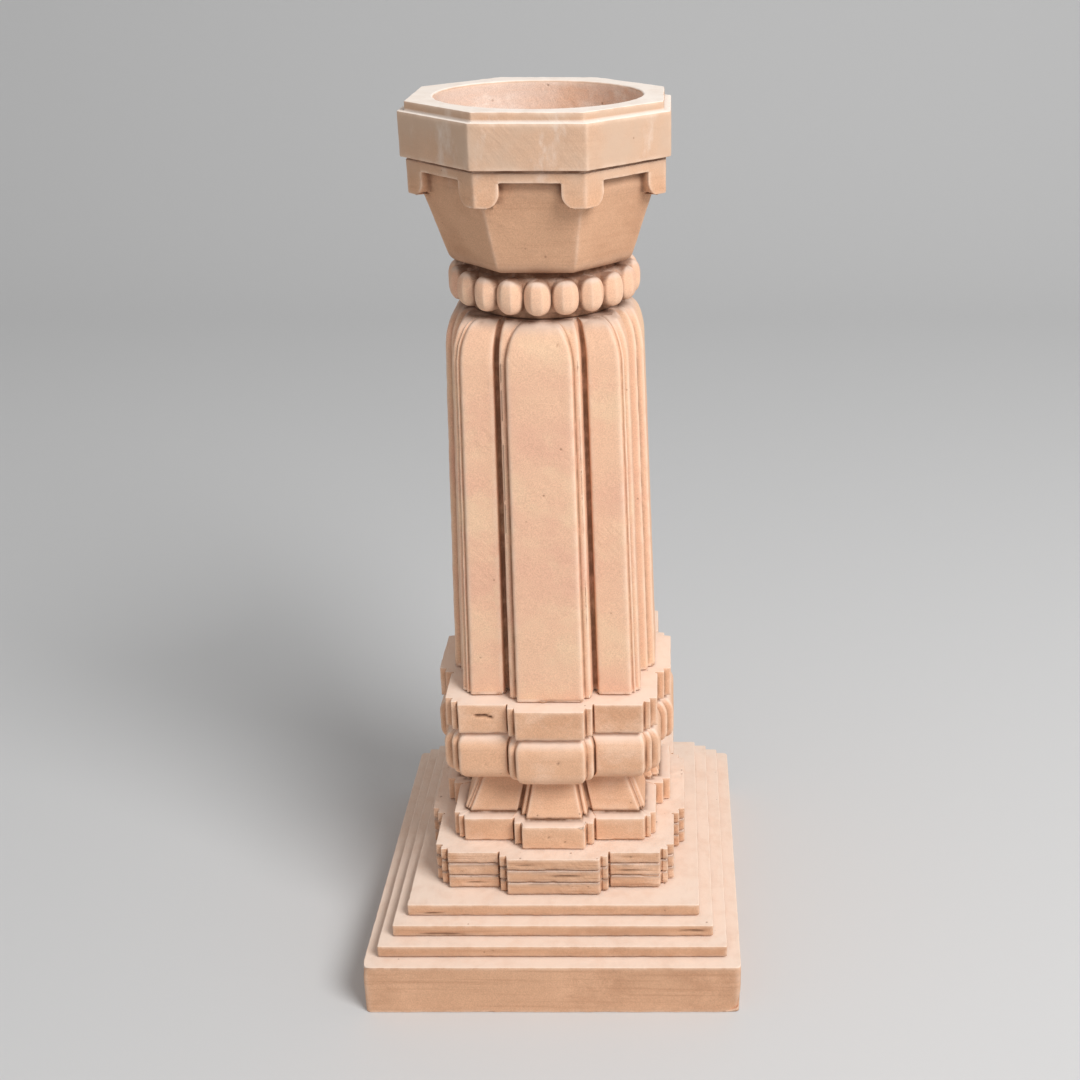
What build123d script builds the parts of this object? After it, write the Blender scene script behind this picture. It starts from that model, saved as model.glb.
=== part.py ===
from build123d import *

import os
from dataclasses import dataclass
from math import cos, radians, sin, tan

# Tulsi vrindavan planter: a sandstone temple column in miniature that carries an octagonal
# bowl for the holy basil. The stones are stacked in courses on thin mortar beds, and a steel
# rod through the column and a steel pin under the bowl hold them in line.
# Millimetres, +Z up. The origin is the centre of the plinth's underside.


@dataclass
class Plan:
    """Stepped plan of one column course, as distances from its two centre lines.

    Each of the four sides has a middle bay, a narrow strip beside it, a wing further back
    and one small square step at the corner. A groove may part the strip from the wing.
    """

    bay_reach: float
    bay: float
    strip: float
    wing_reach: float
    wing_end: float
    corner: float
    groove: float = 0
    groove_depth: float = 0

    @property
    def strip_end(self):
        return self.bay + self.strip

    @property
    def strip_reach(self):
        return (self.bay_reach + self.wing_reach) / 2

    @property
    def corner_end(self):
        return self.wing_end + self.corner

    @property
    def groove_end(self):
        return self.strip_end + self.groove

    @property
    def groove_floor(self):
        return self.wing_reach - self.groove_depth

    @property
    def bars(self):
        """Half width and reach of the crossed bars that fill the plan, middle bay first."""
        return [
            (self.bay, self.bay_reach),
            (self.strip_end, self.strip_reach),
            (self.wing_end, self.wing_reach),
            (self.corner_end, self.corner_end),
        ]

    def scaled(self, factor, bay_cut=0, wing_cut=0):
        """The same plan scaled about the axis, with its bays and wings narrowed as well."""
        return Plan(
            self.bay_reach * factor,
            self.bay * factor - bay_cut,
            self.strip * factor + bay_cut,
            self.wing_reach * factor,
            self.wing_end * factor - wing_cut,
            self.corner * factor,
            self.groove * factor,
            self.groove_depth * factor,
        )


# Plinth and the three steps on it
plinth_width = 400
plinth_height = 61
plinth_corner = 6
step_count = 3
step_height = 14
step_tread = 14.5
step_corner = 2
arris = 1.2

# Mortar beds
bed_height = 1.2
bed_setback = 3

# Foot: three thin courses of one plan
foot_count = 3
foot_height = 14.6
foot_plan = Plan(bay_reach=141.7, bay=50, strip=8.4, wing_reach=129.4, wing_end=114.4, corner=8.4)

# Lotus course: an upright band, then petals that lean in above a narrow ledge
lotus_band_height = 28
lotus_petal_height = 46.3
lotus_band_plan = Plan(
    bay_reach=125.4, bay=34, strip=10.5, wing_reach=109.6, wing_end=97.3, corner=7
)
lotus_root_plan = Plan(
    bay_reach=113.5, bay=30, strip=5.5, wing_reach=98.5, wing_end=91.5, corner=3.5,
    groove=5.2, groove_depth=4,
)
lotus_tip_plan = Plan(
    bay_reach=94.5, bay=20.5, strip=5.6, wing_reach=79.5, wing_end=72.5, corner=3.5,
    groove=3.7, groove_depth=4,
)

# Torus course: every bay and wing is a pillow with a round nose, its ends rounder at the foot
torus_height = 60
torus_nose = 20
torus_foot_round = 17
torus_head_round = 11
torus_plan = Plan(
    bay_reach=129, bay=36.3, strip=8.5, wing_reach=115, wing_end=98, corner=8
)

# Collar course, the seat of the shaft
collar_height = 34.7
collar_plan = Plan(
    bay_reach=125.8, bay=36.1, strip=8, wing_reach=111.5, wing_end=96.5, corner=8
)

# Shaft: tapered, with a rounded shoulder where its panels arch in
shaft_height = 401.2
shoulder_height = 45
shoulder_ratio = 0.81
shoulder_sections = 6
shaft_taper = 0.906
bay_arch = 15
wing_arch = 5
shaft_plan = Plan(
    bay_reach=109, bay=34.8, strip=8, wing_reach=94, wing_end=84.5, corner=4.75,
    groove=7, groove_depth=11,
)

# Bead course: a neck, a ring of upright beads and the bowl's seat
bead_course_height = 43.8
neck_radius = 74
neck_height = 5
bead_count = 20
bead_height = 36
bead_half_width = 13.1
bead_ring_radius = 83
bead_sides = 8
bead_end_bevel = 6.5

# Bowl: regular octagons, each given by the distance from its centre to a flat
bowl_height = 154.5
cap_height = 8.5
cap_flat = 119.5
band_height = 42.4
band_flat = 126
apron_height = 11.8
apron_flat = 121
lobe_drop = 22.5
lobe_arm = 22.8
lobe_round = 13.5
body_top_flat = 111.5
seat_flat = 76
body_round = 14
roll_turn = 72
roll_facets = 3
body_slope_height = 80
mouth_radius = 97.9
floor_radius = 66
floor_thickness = 32
drain_radius = 6
drain_sill = 2

# Steel
rod_radius = 8
rod_length = 427
rod_in_plinth = 40
pin_radius = 8
pin_length = 108
pin_in_bowl = 16
steel_clearance = 0.4

# Levels, from the ground up
step_bases = [plinth_height + bed_height + n * (step_height + bed_height) for n in range(step_count)]
foot_floor = step_bases[-1] + step_height
foot_bases = [foot_floor + bed_height + n * (foot_height + bed_height) for n in range(foot_count)]
lotus_base = foot_bases[-1] + foot_height + bed_height
lotus_ledge = lotus_base + lotus_band_height
lotus_top = lotus_ledge + lotus_petal_height
torus_base = lotus_top + bed_height
collar_base = torus_base + torus_height + bed_height
shaft_base = collar_base + collar_height + bed_height
shaft_top = shaft_base + shaft_height
bead_course_base = shaft_top + bed_height
bead_course_top = bead_course_base + bead_course_height
bowl_base = bead_course_top + bed_height
bowl_top = bowl_base + bowl_height
rod_base = plinth_height - rod_in_plinth
pin_base = bowl_base + pin_in_bowl - pin_length

rod_hole_radius = rod_radius + steel_clearance
pin_hole_radius = pin_radius + steel_clearance

os.makedirs("parts", exist_ok=True)


def outline_points(plan):
    """One quarter of the stepped outline, from the middle of one bay to the next."""
    side = [
        (0, plan.bay_reach),
        (plan.bay, plan.bay_reach),
        (plan.bay, plan.strip_reach),
        (plan.strip_end, plan.strip_reach),
    ]
    if plan.groove:
        side += [
            (plan.strip_end, plan.groove_floor),
            (plan.groove_end, plan.groove_floor),
            (plan.groove_end, plan.wing_reach),
        ]
    else:
        side += [(plan.strip_end, plan.wing_reach)]
    side += [(plan.wing_end, plan.wing_reach), (plan.wing_end, plan.corner_end)]
    corner = [(plan.corner_end, plan.corner_end)]
    return side + corner + [(y, x) for x, y in reversed(side)]


def stepped_face(plan):
    """The whole stepped outline as a flat face."""
    with BuildSketch() as face:
        with BuildLine():
            Polyline(*outline_points(plan))
            mirror(about=Plane.YZ)
            mirror(about=Plane.XZ)
        make_face()
    return face.sketch


def side_view(half_widths, levels):
    """A bar seen from one side: its half width at every level, mirrored about the axis."""
    with BuildSketch() as view:
        with BuildLine():
            Polyline((0, levels[0]), *zip(half_widths, levels), (0, levels[-1]))
            mirror(about=Plane.YZ)
        make_face()
    return view.sketch


def leaning_bar(half_widths, reaches, levels):
    """A bar through the axis whose width and reach both change from level to level."""
    with BuildPart() as bar:
        with BuildSketch(Plane.XZ):
            add(side_view(half_widths, levels))
        extrude(amount=max(reaches), both=True)
        with BuildSketch(Plane.YZ):
            add(side_view(reaches, levels))
        extrude(amount=max(half_widths), both=True, mode=Mode.INTERSECT)
    return bar.part


def leaning_grooves(plans, levels):
    """The grooves on the two sides that face along Y, from level to level."""
    strip_ends = [plan.strip_end for plan in plans]
    groove_ends = [plan.groove_end for plan in plans]
    with BuildPart() as grooves:
        with BuildSketch(Plane.XZ):
            with BuildLine():
                Polyline(
                    *zip(strip_ends, levels), *reversed(list(zip(groove_ends, levels))), close=True
                )
            make_face()
            mirror(about=Plane.YZ)
        extrude(amount=plans[0].bay_reach, both=True)
        with BuildSketch(Plane.YZ):
            add(side_view([plan.groove_floor for plan in plans], levels))
        extrude(amount=plans[0].bay_reach, both=True, mode=Mode.SUBTRACT)
    return grooves.part


def carved_column(plans, levels):
    """A solid whose stepped plan changes from level to level, its grooves cut last."""
    with BuildPart() as column:
        for bars in zip(*(plan.bars for plan in plans)):
            half_widths, reaches = zip(*bars)
            bar = leaning_bar(half_widths, reaches, levels)
            add(bar)
            add(bar.rotate(Axis.Z, 90))
        grooves = leaning_grooves(plans, levels)
        add(grooves, mode=Mode.SUBTRACT)
        add(grooves.rotate(Axis.Z, 90), mode=Mode.SUBTRACT)
    return column.part


def square_face(half_width):
    """A plain square, as a flat face."""
    with BuildSketch() as face:
        Rectangle(2 * half_width, 2 * half_width)
    return face.sketch


def octagon_face(radius):
    """An octagon with its corners on a circle, as a flat face."""
    with BuildSketch() as face:
        RegularPolygon(radius, 8, rotation=22.5)
    return face.sketch


def octagon_side(flat):
    """Length of an octagon's side from the distance between its centre and a flat."""
    return 2 * flat * tan(radians(22.5))


# Plinth slab: rounded upright corners, softened top arris, blind socket for the rod
with BuildPart() as plinth_slab:
    with BuildSketch():
        RectangleRounded(plinth_width, plinth_width, plinth_corner)
    extrude(amount=plinth_height)
    chamfer(plinth_slab.faces().sort_by(Axis.Z)[-1].edges(), arris)
    with Locations((0, 0, plinth_height)):
        Hole(rod_hole_radius, depth=rod_in_plinth)
plinth_slab.part.label = "plinth_slab"
export_step(plinth_slab.part, "parts/plinth_slab.step")

# Three step slabs
step_half_widths = [plinth_width / 2 - (n + 1) * step_tread for n in range(step_count)]
for name, base, half_width in zip(("lower", "middle", "upper"), step_bases, step_half_widths):
    with BuildPart() as step_slab:
        with BuildSketch(Plane.XY.offset(base)):
            Rectangle(2 * half_width, 2 * half_width)
        extrude(amount=step_height)
        chamfer(step_slab.edges().filter_by(Axis.Z), step_corner)
        chamfer(step_slab.faces().sort_by(Axis.Z)[-1].edges(), arris)
        with Locations((0, 0, base + step_height)):
            Hole(rod_hole_radius)
    step_slab.part.label = f"{name}_step_slab"
    export_step(step_slab.part, f"parts/{name}_step_slab.step")

# Three foot courses of one stepped plan
for name, base in zip(("lower", "middle", "upper"), foot_bases):
    with BuildPart() as foot_course:
        with BuildSketch(Plane.XY.offset(base)):
            add(stepped_face(foot_plan))
        extrude(amount=foot_height)
        with Locations((0, 0, base + foot_height)):
            Hole(rod_hole_radius)
    foot_course.part.label = f"{name}_foot_course"
    export_step(foot_course.part, f"parts/{name}_foot_course.step")

# Lotus course: upright band, then petals that narrow as they lean in
with BuildPart() as lotus_course:
    with BuildSketch(Plane.XY.offset(lotus_base)):
        add(stepped_face(lotus_band_plan))
    extrude(amount=lotus_band_height)
    add(carved_column([lotus_root_plan, lotus_tip_plan], [lotus_ledge, lotus_top]))
    with Locations((0, 0, lotus_top)):
        Hole(rod_hole_radius)
lotus_course.part.label = "lotus_course"
export_step(lotus_course.part, "parts/lotus_course.step")

# Torus course: crossed pillows, one pair for the bays, the strips, the wings and the corners
torus_middle = torus_base + torus_height / 2
with BuildPart() as torus_course:
    for half_width, reach in torus_plan.bars:
        with BuildPart(mode=Mode.PRIVATE) as pillow:
            with BuildSketch(Plane.XZ) as front_view:
                with Locations((0, torus_middle)):
                    Rectangle(2 * half_width, torus_height)
                fillet(front_view.vertices().group_by(Axis.Y)[0], torus_foot_round)
                fillet(front_view.vertices().group_by(Axis.Y)[-1], torus_head_round)
            extrude(amount=reach, both=True)
            with BuildSketch(Plane.YZ):
                with Locations((0, torus_middle)):
                    RectangleRounded(2 * reach, torus_height, torus_nose)
            extrude(amount=half_width, both=True, mode=Mode.INTERSECT)
        add(pillow.part)
        add(pillow.part.rotate(Axis.Z, 90))
    with Locations((0, 0, torus_base + torus_height)):
        Hole(rod_hole_radius)
torus_course.part.label = "torus_course"
export_step(torus_course.part, "parts/torus_course.step")

# Collar course
with BuildPart() as collar_course:
    with BuildSketch(Plane.XY.offset(collar_base)):
        add(stepped_face(collar_plan))
    extrude(amount=collar_height)
    with Locations((0, 0, collar_base + collar_height)):
        Hole(rod_hole_radius)
collar_course.part.label = "collar_course"
export_step(collar_course.part, "parts/collar_course.step")

# Shaft: straight taper, then a shoulder whose levels follow a quarter ellipse
spring = shaft_top - shoulder_height
spring_plan = shaft_plan.scaled(shaft_taper)
shaft_plans = [shaft_plan]
shaft_levels = [shaft_base]
for n in range(shoulder_sections + 1):
    angle = radians(90 * n / shoulder_sections)
    drawn_in = 1 - cos(angle)
    shaft_plans.append(
        spring_plan.scaled(1 - (1 - shoulder_ratio) * drawn_in, bay_arch * drawn_in, wing_arch * drawn_in)
    )
    shaft_levels.append(spring + shoulder_height * sin(angle))
with BuildPart() as shaft:
    add(carved_column(shaft_plans, shaft_levels))
    with Locations(Plane((0, 0, shaft_base), z_dir=(0, 0, -1))):
        Hole(rod_hole_radius, depth=rod_base + rod_length - shaft_base)
    with Locations((0, 0, shaft_top)):
        Hole(pin_hole_radius, depth=shaft_top - pin_base)
shaft.part.label = "shaft"
export_step(shaft.part, "parts/shaft.step")

# Bead course: upright beads, each an eight-sided barrel with a flat outward, round a plain neck
bead_base = bead_course_base + neck_height
with BuildPart() as bead_course:
    with BuildSketch(Plane.XY.offset(bead_course_base)):
        Circle(neck_radius)
    extrude(amount=bead_course_height)
    with BuildSketch(Plane.XY.offset(bead_base)):
        RegularPolygon(bead_ring_radius, bead_count)
    extrude(amount=bead_height)
    with BuildPart(mode=Mode.PRIVATE) as bead:
        with BuildSketch(Plane.XY.offset(bead_base)):
            RegularPolygon(bead_half_width, bead_sides, major_radius=False, rotation=180 / bead_sides)
        extrude(amount=bead_height)
        chamfer(bead.faces().filter_by(Axis.Z).edges(), bead_end_bevel)
    with PolarLocations(bead_ring_radius, bead_count, start_angle=180 / bead_count):
        add(bead.part)
    with Locations((0, 0, bead_course_top)):
        Hole(pin_hole_radius)
bead_course.part.label = "bead_course"
export_step(bead_course.part, "parts/bead_course.step")

# Bowl: lobed apron first, then the faceted body behind it, the band and the cap moulding
band_base = bowl_top - cap_height - band_height
apron_base = band_base - apron_height
lobe_base = apron_base - lobe_drop
bowl_floor = bowl_base + floor_thickness
window_half = octagon_side(apron_flat) / 2 - lobe_arm
body_roll = []
for n in range(roll_facets + 1):
    angle = radians(roll_turn * n / roll_facets)
    body_roll.append((seat_flat + body_round * sin(angle), bowl_base + body_round * (1 - cos(angle))))
with BuildPart() as bowl:
    with BuildSketch(Plane.XY.offset(lobe_base)):
        RegularPolygon(apron_flat, 8, major_radius=False, rotation=22.5)
    extrude(amount=lobe_drop + apron_height)
    # the window between two lobes on one flat, cut on all eight
    with BuildPart(mode=Mode.PRIVATE) as window:
        with BuildSketch(Plane.XZ.offset(apron_flat - lobe_arm)):
            with BuildLine():
                top = Line((-window_half, apron_base), (window_half, apron_base))
                jamb = Line(top @ 1, (window_half, lobe_base + lobe_round))
                RadiusArc(jamb @ 1, (window_half + lobe_round, lobe_base), -lobe_round)
                Line((window_half + lobe_round, lobe_base), (0, lobe_base))
                mirror(about=Plane.YZ)
            make_face()
        extrude(amount=2 * lobe_arm)
    with PolarLocations(0, 8):
        add(window.part, mode=Mode.SUBTRACT)
    # body: one cross-section, seen square on to each pair of opposite flats
    with BuildPart(mode=Mode.PRIVATE) as flats:
        with BuildSketch(Plane.XZ):
            with BuildLine():
                Polyline(
                    (0, bowl_base),
                    *body_roll,
                    (body_top_flat, bowl_base + body_slope_height),
                    (body_top_flat, band_base),
                    (0, band_base),
                )
                mirror(about=Plane.YZ)
            make_face()
        extrude(amount=band_flat, both=True)
    with BuildPart(mode=Mode.PRIVATE) as body:
        add(flats.part)
        for turn in (45, 90, 135):
            add(flats.part.rotate(Axis.Z, turn), mode=Mode.INTERSECT)
    add(body.part)
    with BuildSketch(Plane.XY.offset(band_base)):
        RegularPolygon(band_flat, 8, major_radius=False, rotation=22.5)
    extrude(amount=band_height)
    with BuildSketch(Plane.XY.offset(bowl_top - cap_height)):
        RegularPolygon(cap_flat, 8, major_radius=False, rotation=22.5)
    extrude(amount=cap_height)
    # hollow: round and upright down to the sloping body, then drawn in to the floor
    with BuildSketch(Plane.XZ):
        with BuildLine():
            Polyline(
                (0, bowl_floor),
                (floor_radius, bowl_floor),
                (mouth_radius, bowl_base + body_slope_height),
                (mouth_radius, bowl_top),
                (0, bowl_top),
                close=True,
            )
        make_face()
    revolve(axis=Axis.Z, mode=Mode.SUBTRACT)
    with Locations(Plane((0, 0, bowl_base), z_dir=(0, 0, -1))):
        Hole(pin_hole_radius, depth=pin_in_bowl)
    # drain through the back wall, just above the floor
    with BuildSketch(Plane.XZ.offset(-band_flat)):
        with Locations((0, bowl_floor + drain_sill + drain_radius)):
            Circle(drain_radius)
    extrude(amount=band_flat - floor_radius, mode=Mode.SUBTRACT)
bowl.part.label = "bowl"
export_step(bowl.part, "parts/bowl.step")

# Mortar beds, each set back from the smaller of the two faces that it joins
bed_outlines = [
    ("lower_step_bed", square_face(step_half_widths[0]), plinth_height),
    ("middle_step_bed", square_face(step_half_widths[1]), step_bases[0] + step_height),
    ("upper_step_bed", square_face(step_half_widths[2]), step_bases[1] + step_height),
    ("lower_foot_bed", stepped_face(foot_plan), foot_floor),
    ("middle_foot_bed", stepped_face(foot_plan), foot_bases[0] + foot_height),
    ("upper_foot_bed", stepped_face(foot_plan), foot_bases[1] + foot_height),
    ("lotus_bed", stepped_face(lotus_band_plan), lotus_base - bed_height),
    ("torus_bed", stepped_face(lotus_tip_plan), lotus_top),
    ("collar_bed", square_face(torus_plan.wing_end - torus_foot_round), collar_base - bed_height),
    ("shaft_bed", stepped_face(shaft_plan), shaft_base - bed_height),
    ("bead_course_bed", octagon_face(neck_radius), shaft_top),
    ("bowl_bed", octagon_face(min(neck_radius, seat_flat)), bead_course_top),
]
for name, outline, base in bed_outlines:
    with BuildPart() as bed:
        with BuildSketch(Plane.XY.offset(base)):
            add(outline)
            offset(amount=-bed_setback, kind=Kind.INTERSECTION, mode=Mode.REPLACE)
            # the stones' holes are left clear of mortar
            Rectangle(2 * rod_hole_radius, 2 * rod_hole_radius, mode=Mode.SUBTRACT)
        extrude(amount=bed_height)
    bed.part.label = name
    export_step(bed.part, f"parts/{name}.step")

# Steel rod through the column, and the pin under the bowl
for name, radius, base, length in (
    ("core_rod", rod_radius, rod_base, rod_length),
    ("bowl_pin", pin_radius, pin_base, pin_length),
):
    with BuildPart() as bar:
        with BuildSketch(Plane.XY.offset(base)):
            Circle(radius)
        extrude(amount=length)
    bar.part.label = name
    export_step(bar.part, f"parts/{name}.step")
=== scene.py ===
import math

import bpy
import numpy as np
from bpy.props import FloatProperty, FloatVectorProperty, IntProperty, PointerProperty
from bpy.types import Operator, Panel, PropertyGroup
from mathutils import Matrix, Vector
from mathutils.geometry import tessellate_polygon


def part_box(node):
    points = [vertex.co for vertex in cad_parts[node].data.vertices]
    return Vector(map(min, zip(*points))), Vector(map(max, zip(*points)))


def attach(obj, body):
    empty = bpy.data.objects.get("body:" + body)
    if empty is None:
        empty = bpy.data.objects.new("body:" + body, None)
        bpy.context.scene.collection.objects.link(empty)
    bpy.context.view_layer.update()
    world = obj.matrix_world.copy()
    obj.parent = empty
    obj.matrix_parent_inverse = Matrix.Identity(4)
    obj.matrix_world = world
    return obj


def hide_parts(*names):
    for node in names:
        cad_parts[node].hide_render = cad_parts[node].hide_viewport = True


bl_info = {
    "name": "Tulsi Pedestal Planter",
    "version": (1, 0, 0),
    "blender": (4, 5, 0),
    "location": "View3D > Sidebar > Planter",
    "description": "Builds a carved sandstone tulsi pedestal, course by course, and its studio",
    "category": "Add Mesh",
}

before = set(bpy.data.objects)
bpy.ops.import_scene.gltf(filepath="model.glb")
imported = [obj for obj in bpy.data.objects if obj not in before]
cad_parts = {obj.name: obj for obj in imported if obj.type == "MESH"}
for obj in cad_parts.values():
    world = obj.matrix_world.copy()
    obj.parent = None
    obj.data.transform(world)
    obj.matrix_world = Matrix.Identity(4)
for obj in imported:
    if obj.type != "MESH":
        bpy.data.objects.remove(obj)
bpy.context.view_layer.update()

BODY = "root"
MM = 0.001

# Room kept clear all round a steel bar inside the stones
BAR_CLEARANCE = 0.4 * MM
# Height of the upright band below the lotus petals
LOTUS_BAND_HEIGHT = 28 * MM
# Rings of the bowl's rounded lip, which keep the finish of the outside
LIP_STEPS = 5
# Sides of a round bore, and cells of the noise lattice before it repeats
BORE_SIDES = 48
LATTICE = 32

DULLED_STEEL = (0.30, 0.26, 0.23)
BEAD_ROWS = 44
POINTS_PER_BEAD = 30
# A bead's profile from the side is |x|^n + |z|^n = 1, where a circle's n is 2
BEAD_PLUMPNESS = 2.6
HOLLOW_SIDES = 260
FLOOR_RINGS = 18
BED_LEVELS = 4

# Studio, in metres and watts
SWEEP_RADIUS, SWEEP_START, SWEEP_HALF_WIDTH = 1.6, 2.4, 9.0
SWEEP_FRONT, SWEEP_TOP = -5.0, 7.0
KEY_SIZE, KEY_POWER = 2.2, 175.0
KEY_PLACE, KEY_AIM = (2.32, -2.32, 3.59), (0.0, 0.0, 0.5)
SKY_STRENGTH = 0.42


# ---------------------------------------------------------------------------------------------
# Sizes and colours
# ---------------------------------------------------------------------------------------------

PLAN_WORDS = {
    "bay": "Half width of the middle bay",
    "strip": "Width of the strip beside the bay, its dark line included",
    "wing_reach": "Distance from the axis to the face of the wing",
    "wing_end": "Half width across the wings",
    "corner": "Width of the small square step at the corner",
    "groove": "Width of the groove between the strip and the wing",
    "groove_depth": "Depth of that groove behind the face of the wing",
}


def length(name, default, description):
    """A length in metres that a user may change."""
    return FloatProperty(
        name=name, description=description, default=default, min=0.0, precision=4,
        unit="LENGTH", subtype="DISTANCE",
    )


def colour(name, default, description):
    """A linear colour that a user may change."""
    return FloatVectorProperty(
        name=name, description=description, default=default, min=0.0, max=1.0, size=3,
        subtype="COLOR",
    )


def plan_group(label, bay_reach, **sizes):
    """A PropertyGroup class for one stepped plan, its defaults given in millimetres."""
    fields = {"bay_reach": length("Bay reach", bay_reach, "Distance from the axis to the bay")}
    for key, words in PLAN_WORDS.items():
        title = key.replace("_", " ").capitalize()
        fields[key] = length(title, sizes[key] * MM, words)
    return type(label, (PropertyGroup,), {"__annotations__": fields})


def node_reach(node):
    """How far a CAD node reaches from the axis along X, in metres."""
    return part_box(node)[1].x


FootPlan = plan_group(
    "PLANTER_PG_foot", node_reach("lower_foot_course"), bay=50, strip=8.4, wing_reach=129.4,
    wing_end=114.4, corner=8.4, groove=1.5, groove_depth=2.4,
)
LotusBandPlan = plan_group(
    "PLANTER_PG_lotus_band", node_reach("lotus_course"), bay=34, strip=9, wing_reach=109.6,
    wing_end=97.3, corner=7, groove=1.5, groove_depth=2.4,
)
LotusRootPlan = plan_group(
    "PLANTER_PG_lotus_root", 113.5 * MM, bay=30, strip=5.5, wing_reach=98.5,
    wing_end=91.5, corner=3.5, groove=5.2, groove_depth=4,
)
LotusTipPlan = plan_group(
    "PLANTER_PG_lotus_tip", 94.5 * MM, bay=20.5, strip=5.6, wing_reach=79.5,
    wing_end=72.5, corner=3.5, groove=3.7, groove_depth=4,
)
TorusPlan = plan_group(
    "PLANTER_PG_torus", node_reach("torus_course"), bay=36.3, strip=8.5, wing_reach=115,
    wing_end=98, corner=8, groove=1.6, groove_depth=3,
)
CollarPlan = plan_group(
    "PLANTER_PG_collar", node_reach("collar_course"), bay=36.1, strip=8, wing_reach=111.5,
    wing_end=96.5, corner=8, groove=1.5, groove_depth=2.4,
)
ShaftPlan = plan_group(
    "PLANTER_PG_shaft", node_reach("shaft"), bay=34.8, strip=8, wing_reach=94,
    wing_end=84.5, corner=4.75, groove=7, groove_depth=11,
)


class PLANTER_PG_carving(PropertyGroup):
    """Sizes of the carving that the plans leave open."""

    arris: length("Arris", 1.3 * MM, "Radius to which every outer edge is rubbed down")
    line: length("Cut line", 2.0 * MM, "Width of the lines cut beside strips and corners")
    line_depth: length("Cut line depth", 1.5 * MM, "Depth of those lines")
    pitch: length("Mesh pitch", 2.6 * MM, "Distance between mesh points on a plain face")
    unevenness: length("Unevenness", 0.6 * MM, "How far a dressed face wanders from flat")
    chip: length("Chip depth", 1.6 * MM, "Depth of the deepest chips along the edges")
    undercut: length("Petal undercut", 2.0 * MM, "Height and depth of the shadow under the petals")
    torus_nose: length("Torus nose", 20 * MM, "Radius of the pillows seen from the side")
    torus_foot: length("Torus foot", 17 * MM, "Radius of the pillows' lower ends from the front")
    torus_head: length("Torus head", 14 * MM, "Radius of the pillows' upper ends from the front")
    shoulder: length("Shoulder height", 45 * MM, "Height over which the shaft draws in")
    shoulder_ratio: FloatProperty(
        name="Shoulder ratio", description="Width left at the top of the shoulder", default=0.81,
        min=0.1, max=1.0,
    )
    taper: FloatProperty(
        name="Shaft taper", description="Width left where the shoulder starts", default=0.906,
        min=0.1, max=1.0,
    )
    bay_arch: length("Bay arch", 13 * MM, "How far the bay panels narrow toward their top")
    wing_arch: length("Wing arch", 5 * MM, "How far the wing panels narrow toward their top")


class PLANTER_PG_beads(PropertyGroup):
    """Sizes of the ring of beads."""

    count: IntProperty(name="Beads", description="Number of beads round the neck", default=20, min=3)
    facets: IntProperty(name="Facets", description="Flats cut round one bead", default=8, min=3)
    neck: length("Neck radius", 74 * MM, "Radius of the plain neck")
    ring: length("Ring radius", 82.3 * MM, "Radius of the circle that the beads stand on")
    radius: length("Bead radius", 13.8 * MM, "Half width of one bead")
    height: length("Bead height", 34.5 * MM, "Height of one bead")
    neck_height: length("Neck height", 5.5 * MM, "Height of the neck under the beads")


class PLANTER_PG_bowl(PropertyGroup):
    """Sizes of the octagonal bowl, each flat given from the axis."""

    seat_flat: length("Seat flat", 76 * MM, "Flat of the underside")
    roll: length("Roll radius", 14 * MM, "Radius where the underside turns up")
    body_flat: length("Body flat", 111.5 * MM, "Flat at the top of the sloping body")
    body_height: length("Body height", 80 * MM, "Height of the sloping body")
    apron_flat: length("Apron flat", 121 * MM, "Flat of the lobed apron")
    apron: length("Apron height", 11.8 * MM, "Height of the apron over its windows")
    lobe_drop: length("Lobe drop", 22.5 * MM, "How far the lobes hang below the apron")
    lobe_arm: length("Lobe arm", 22.8 * MM, "Width of a lobe on each side of its corner")
    lobe_round: length("Lobe round", 13.5 * MM, "Radius of the lobes' lower corners")
    band: length("Band height", 42.4 * MM, "Height of the plain band")
    cap: length("Cap height", 8.5 * MM, "Height of the cap moulding")
    cap_flat: length("Cap flat", 119.5 * MM, "Flat of the cap moulding")
    mouth: length("Mouth radius", 97.9 * MM, "Radius of the upright part of the hollow")
    floor: length("Floor radius", 66 * MM, "Radius of the hollow at its floor")
    floor_round: length("Floor round", 14 * MM, "Radius between wall and floor")
    floor_height: length("Floor thickness", 32 * MM, "Thickness of stone under the hollow")
    drain: length("Drain radius", 6 * MM, "Radius of the drain through the back")
    drain_sill: length("Drain sill", 2 * MM, "Height of the drain over the floor")


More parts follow.
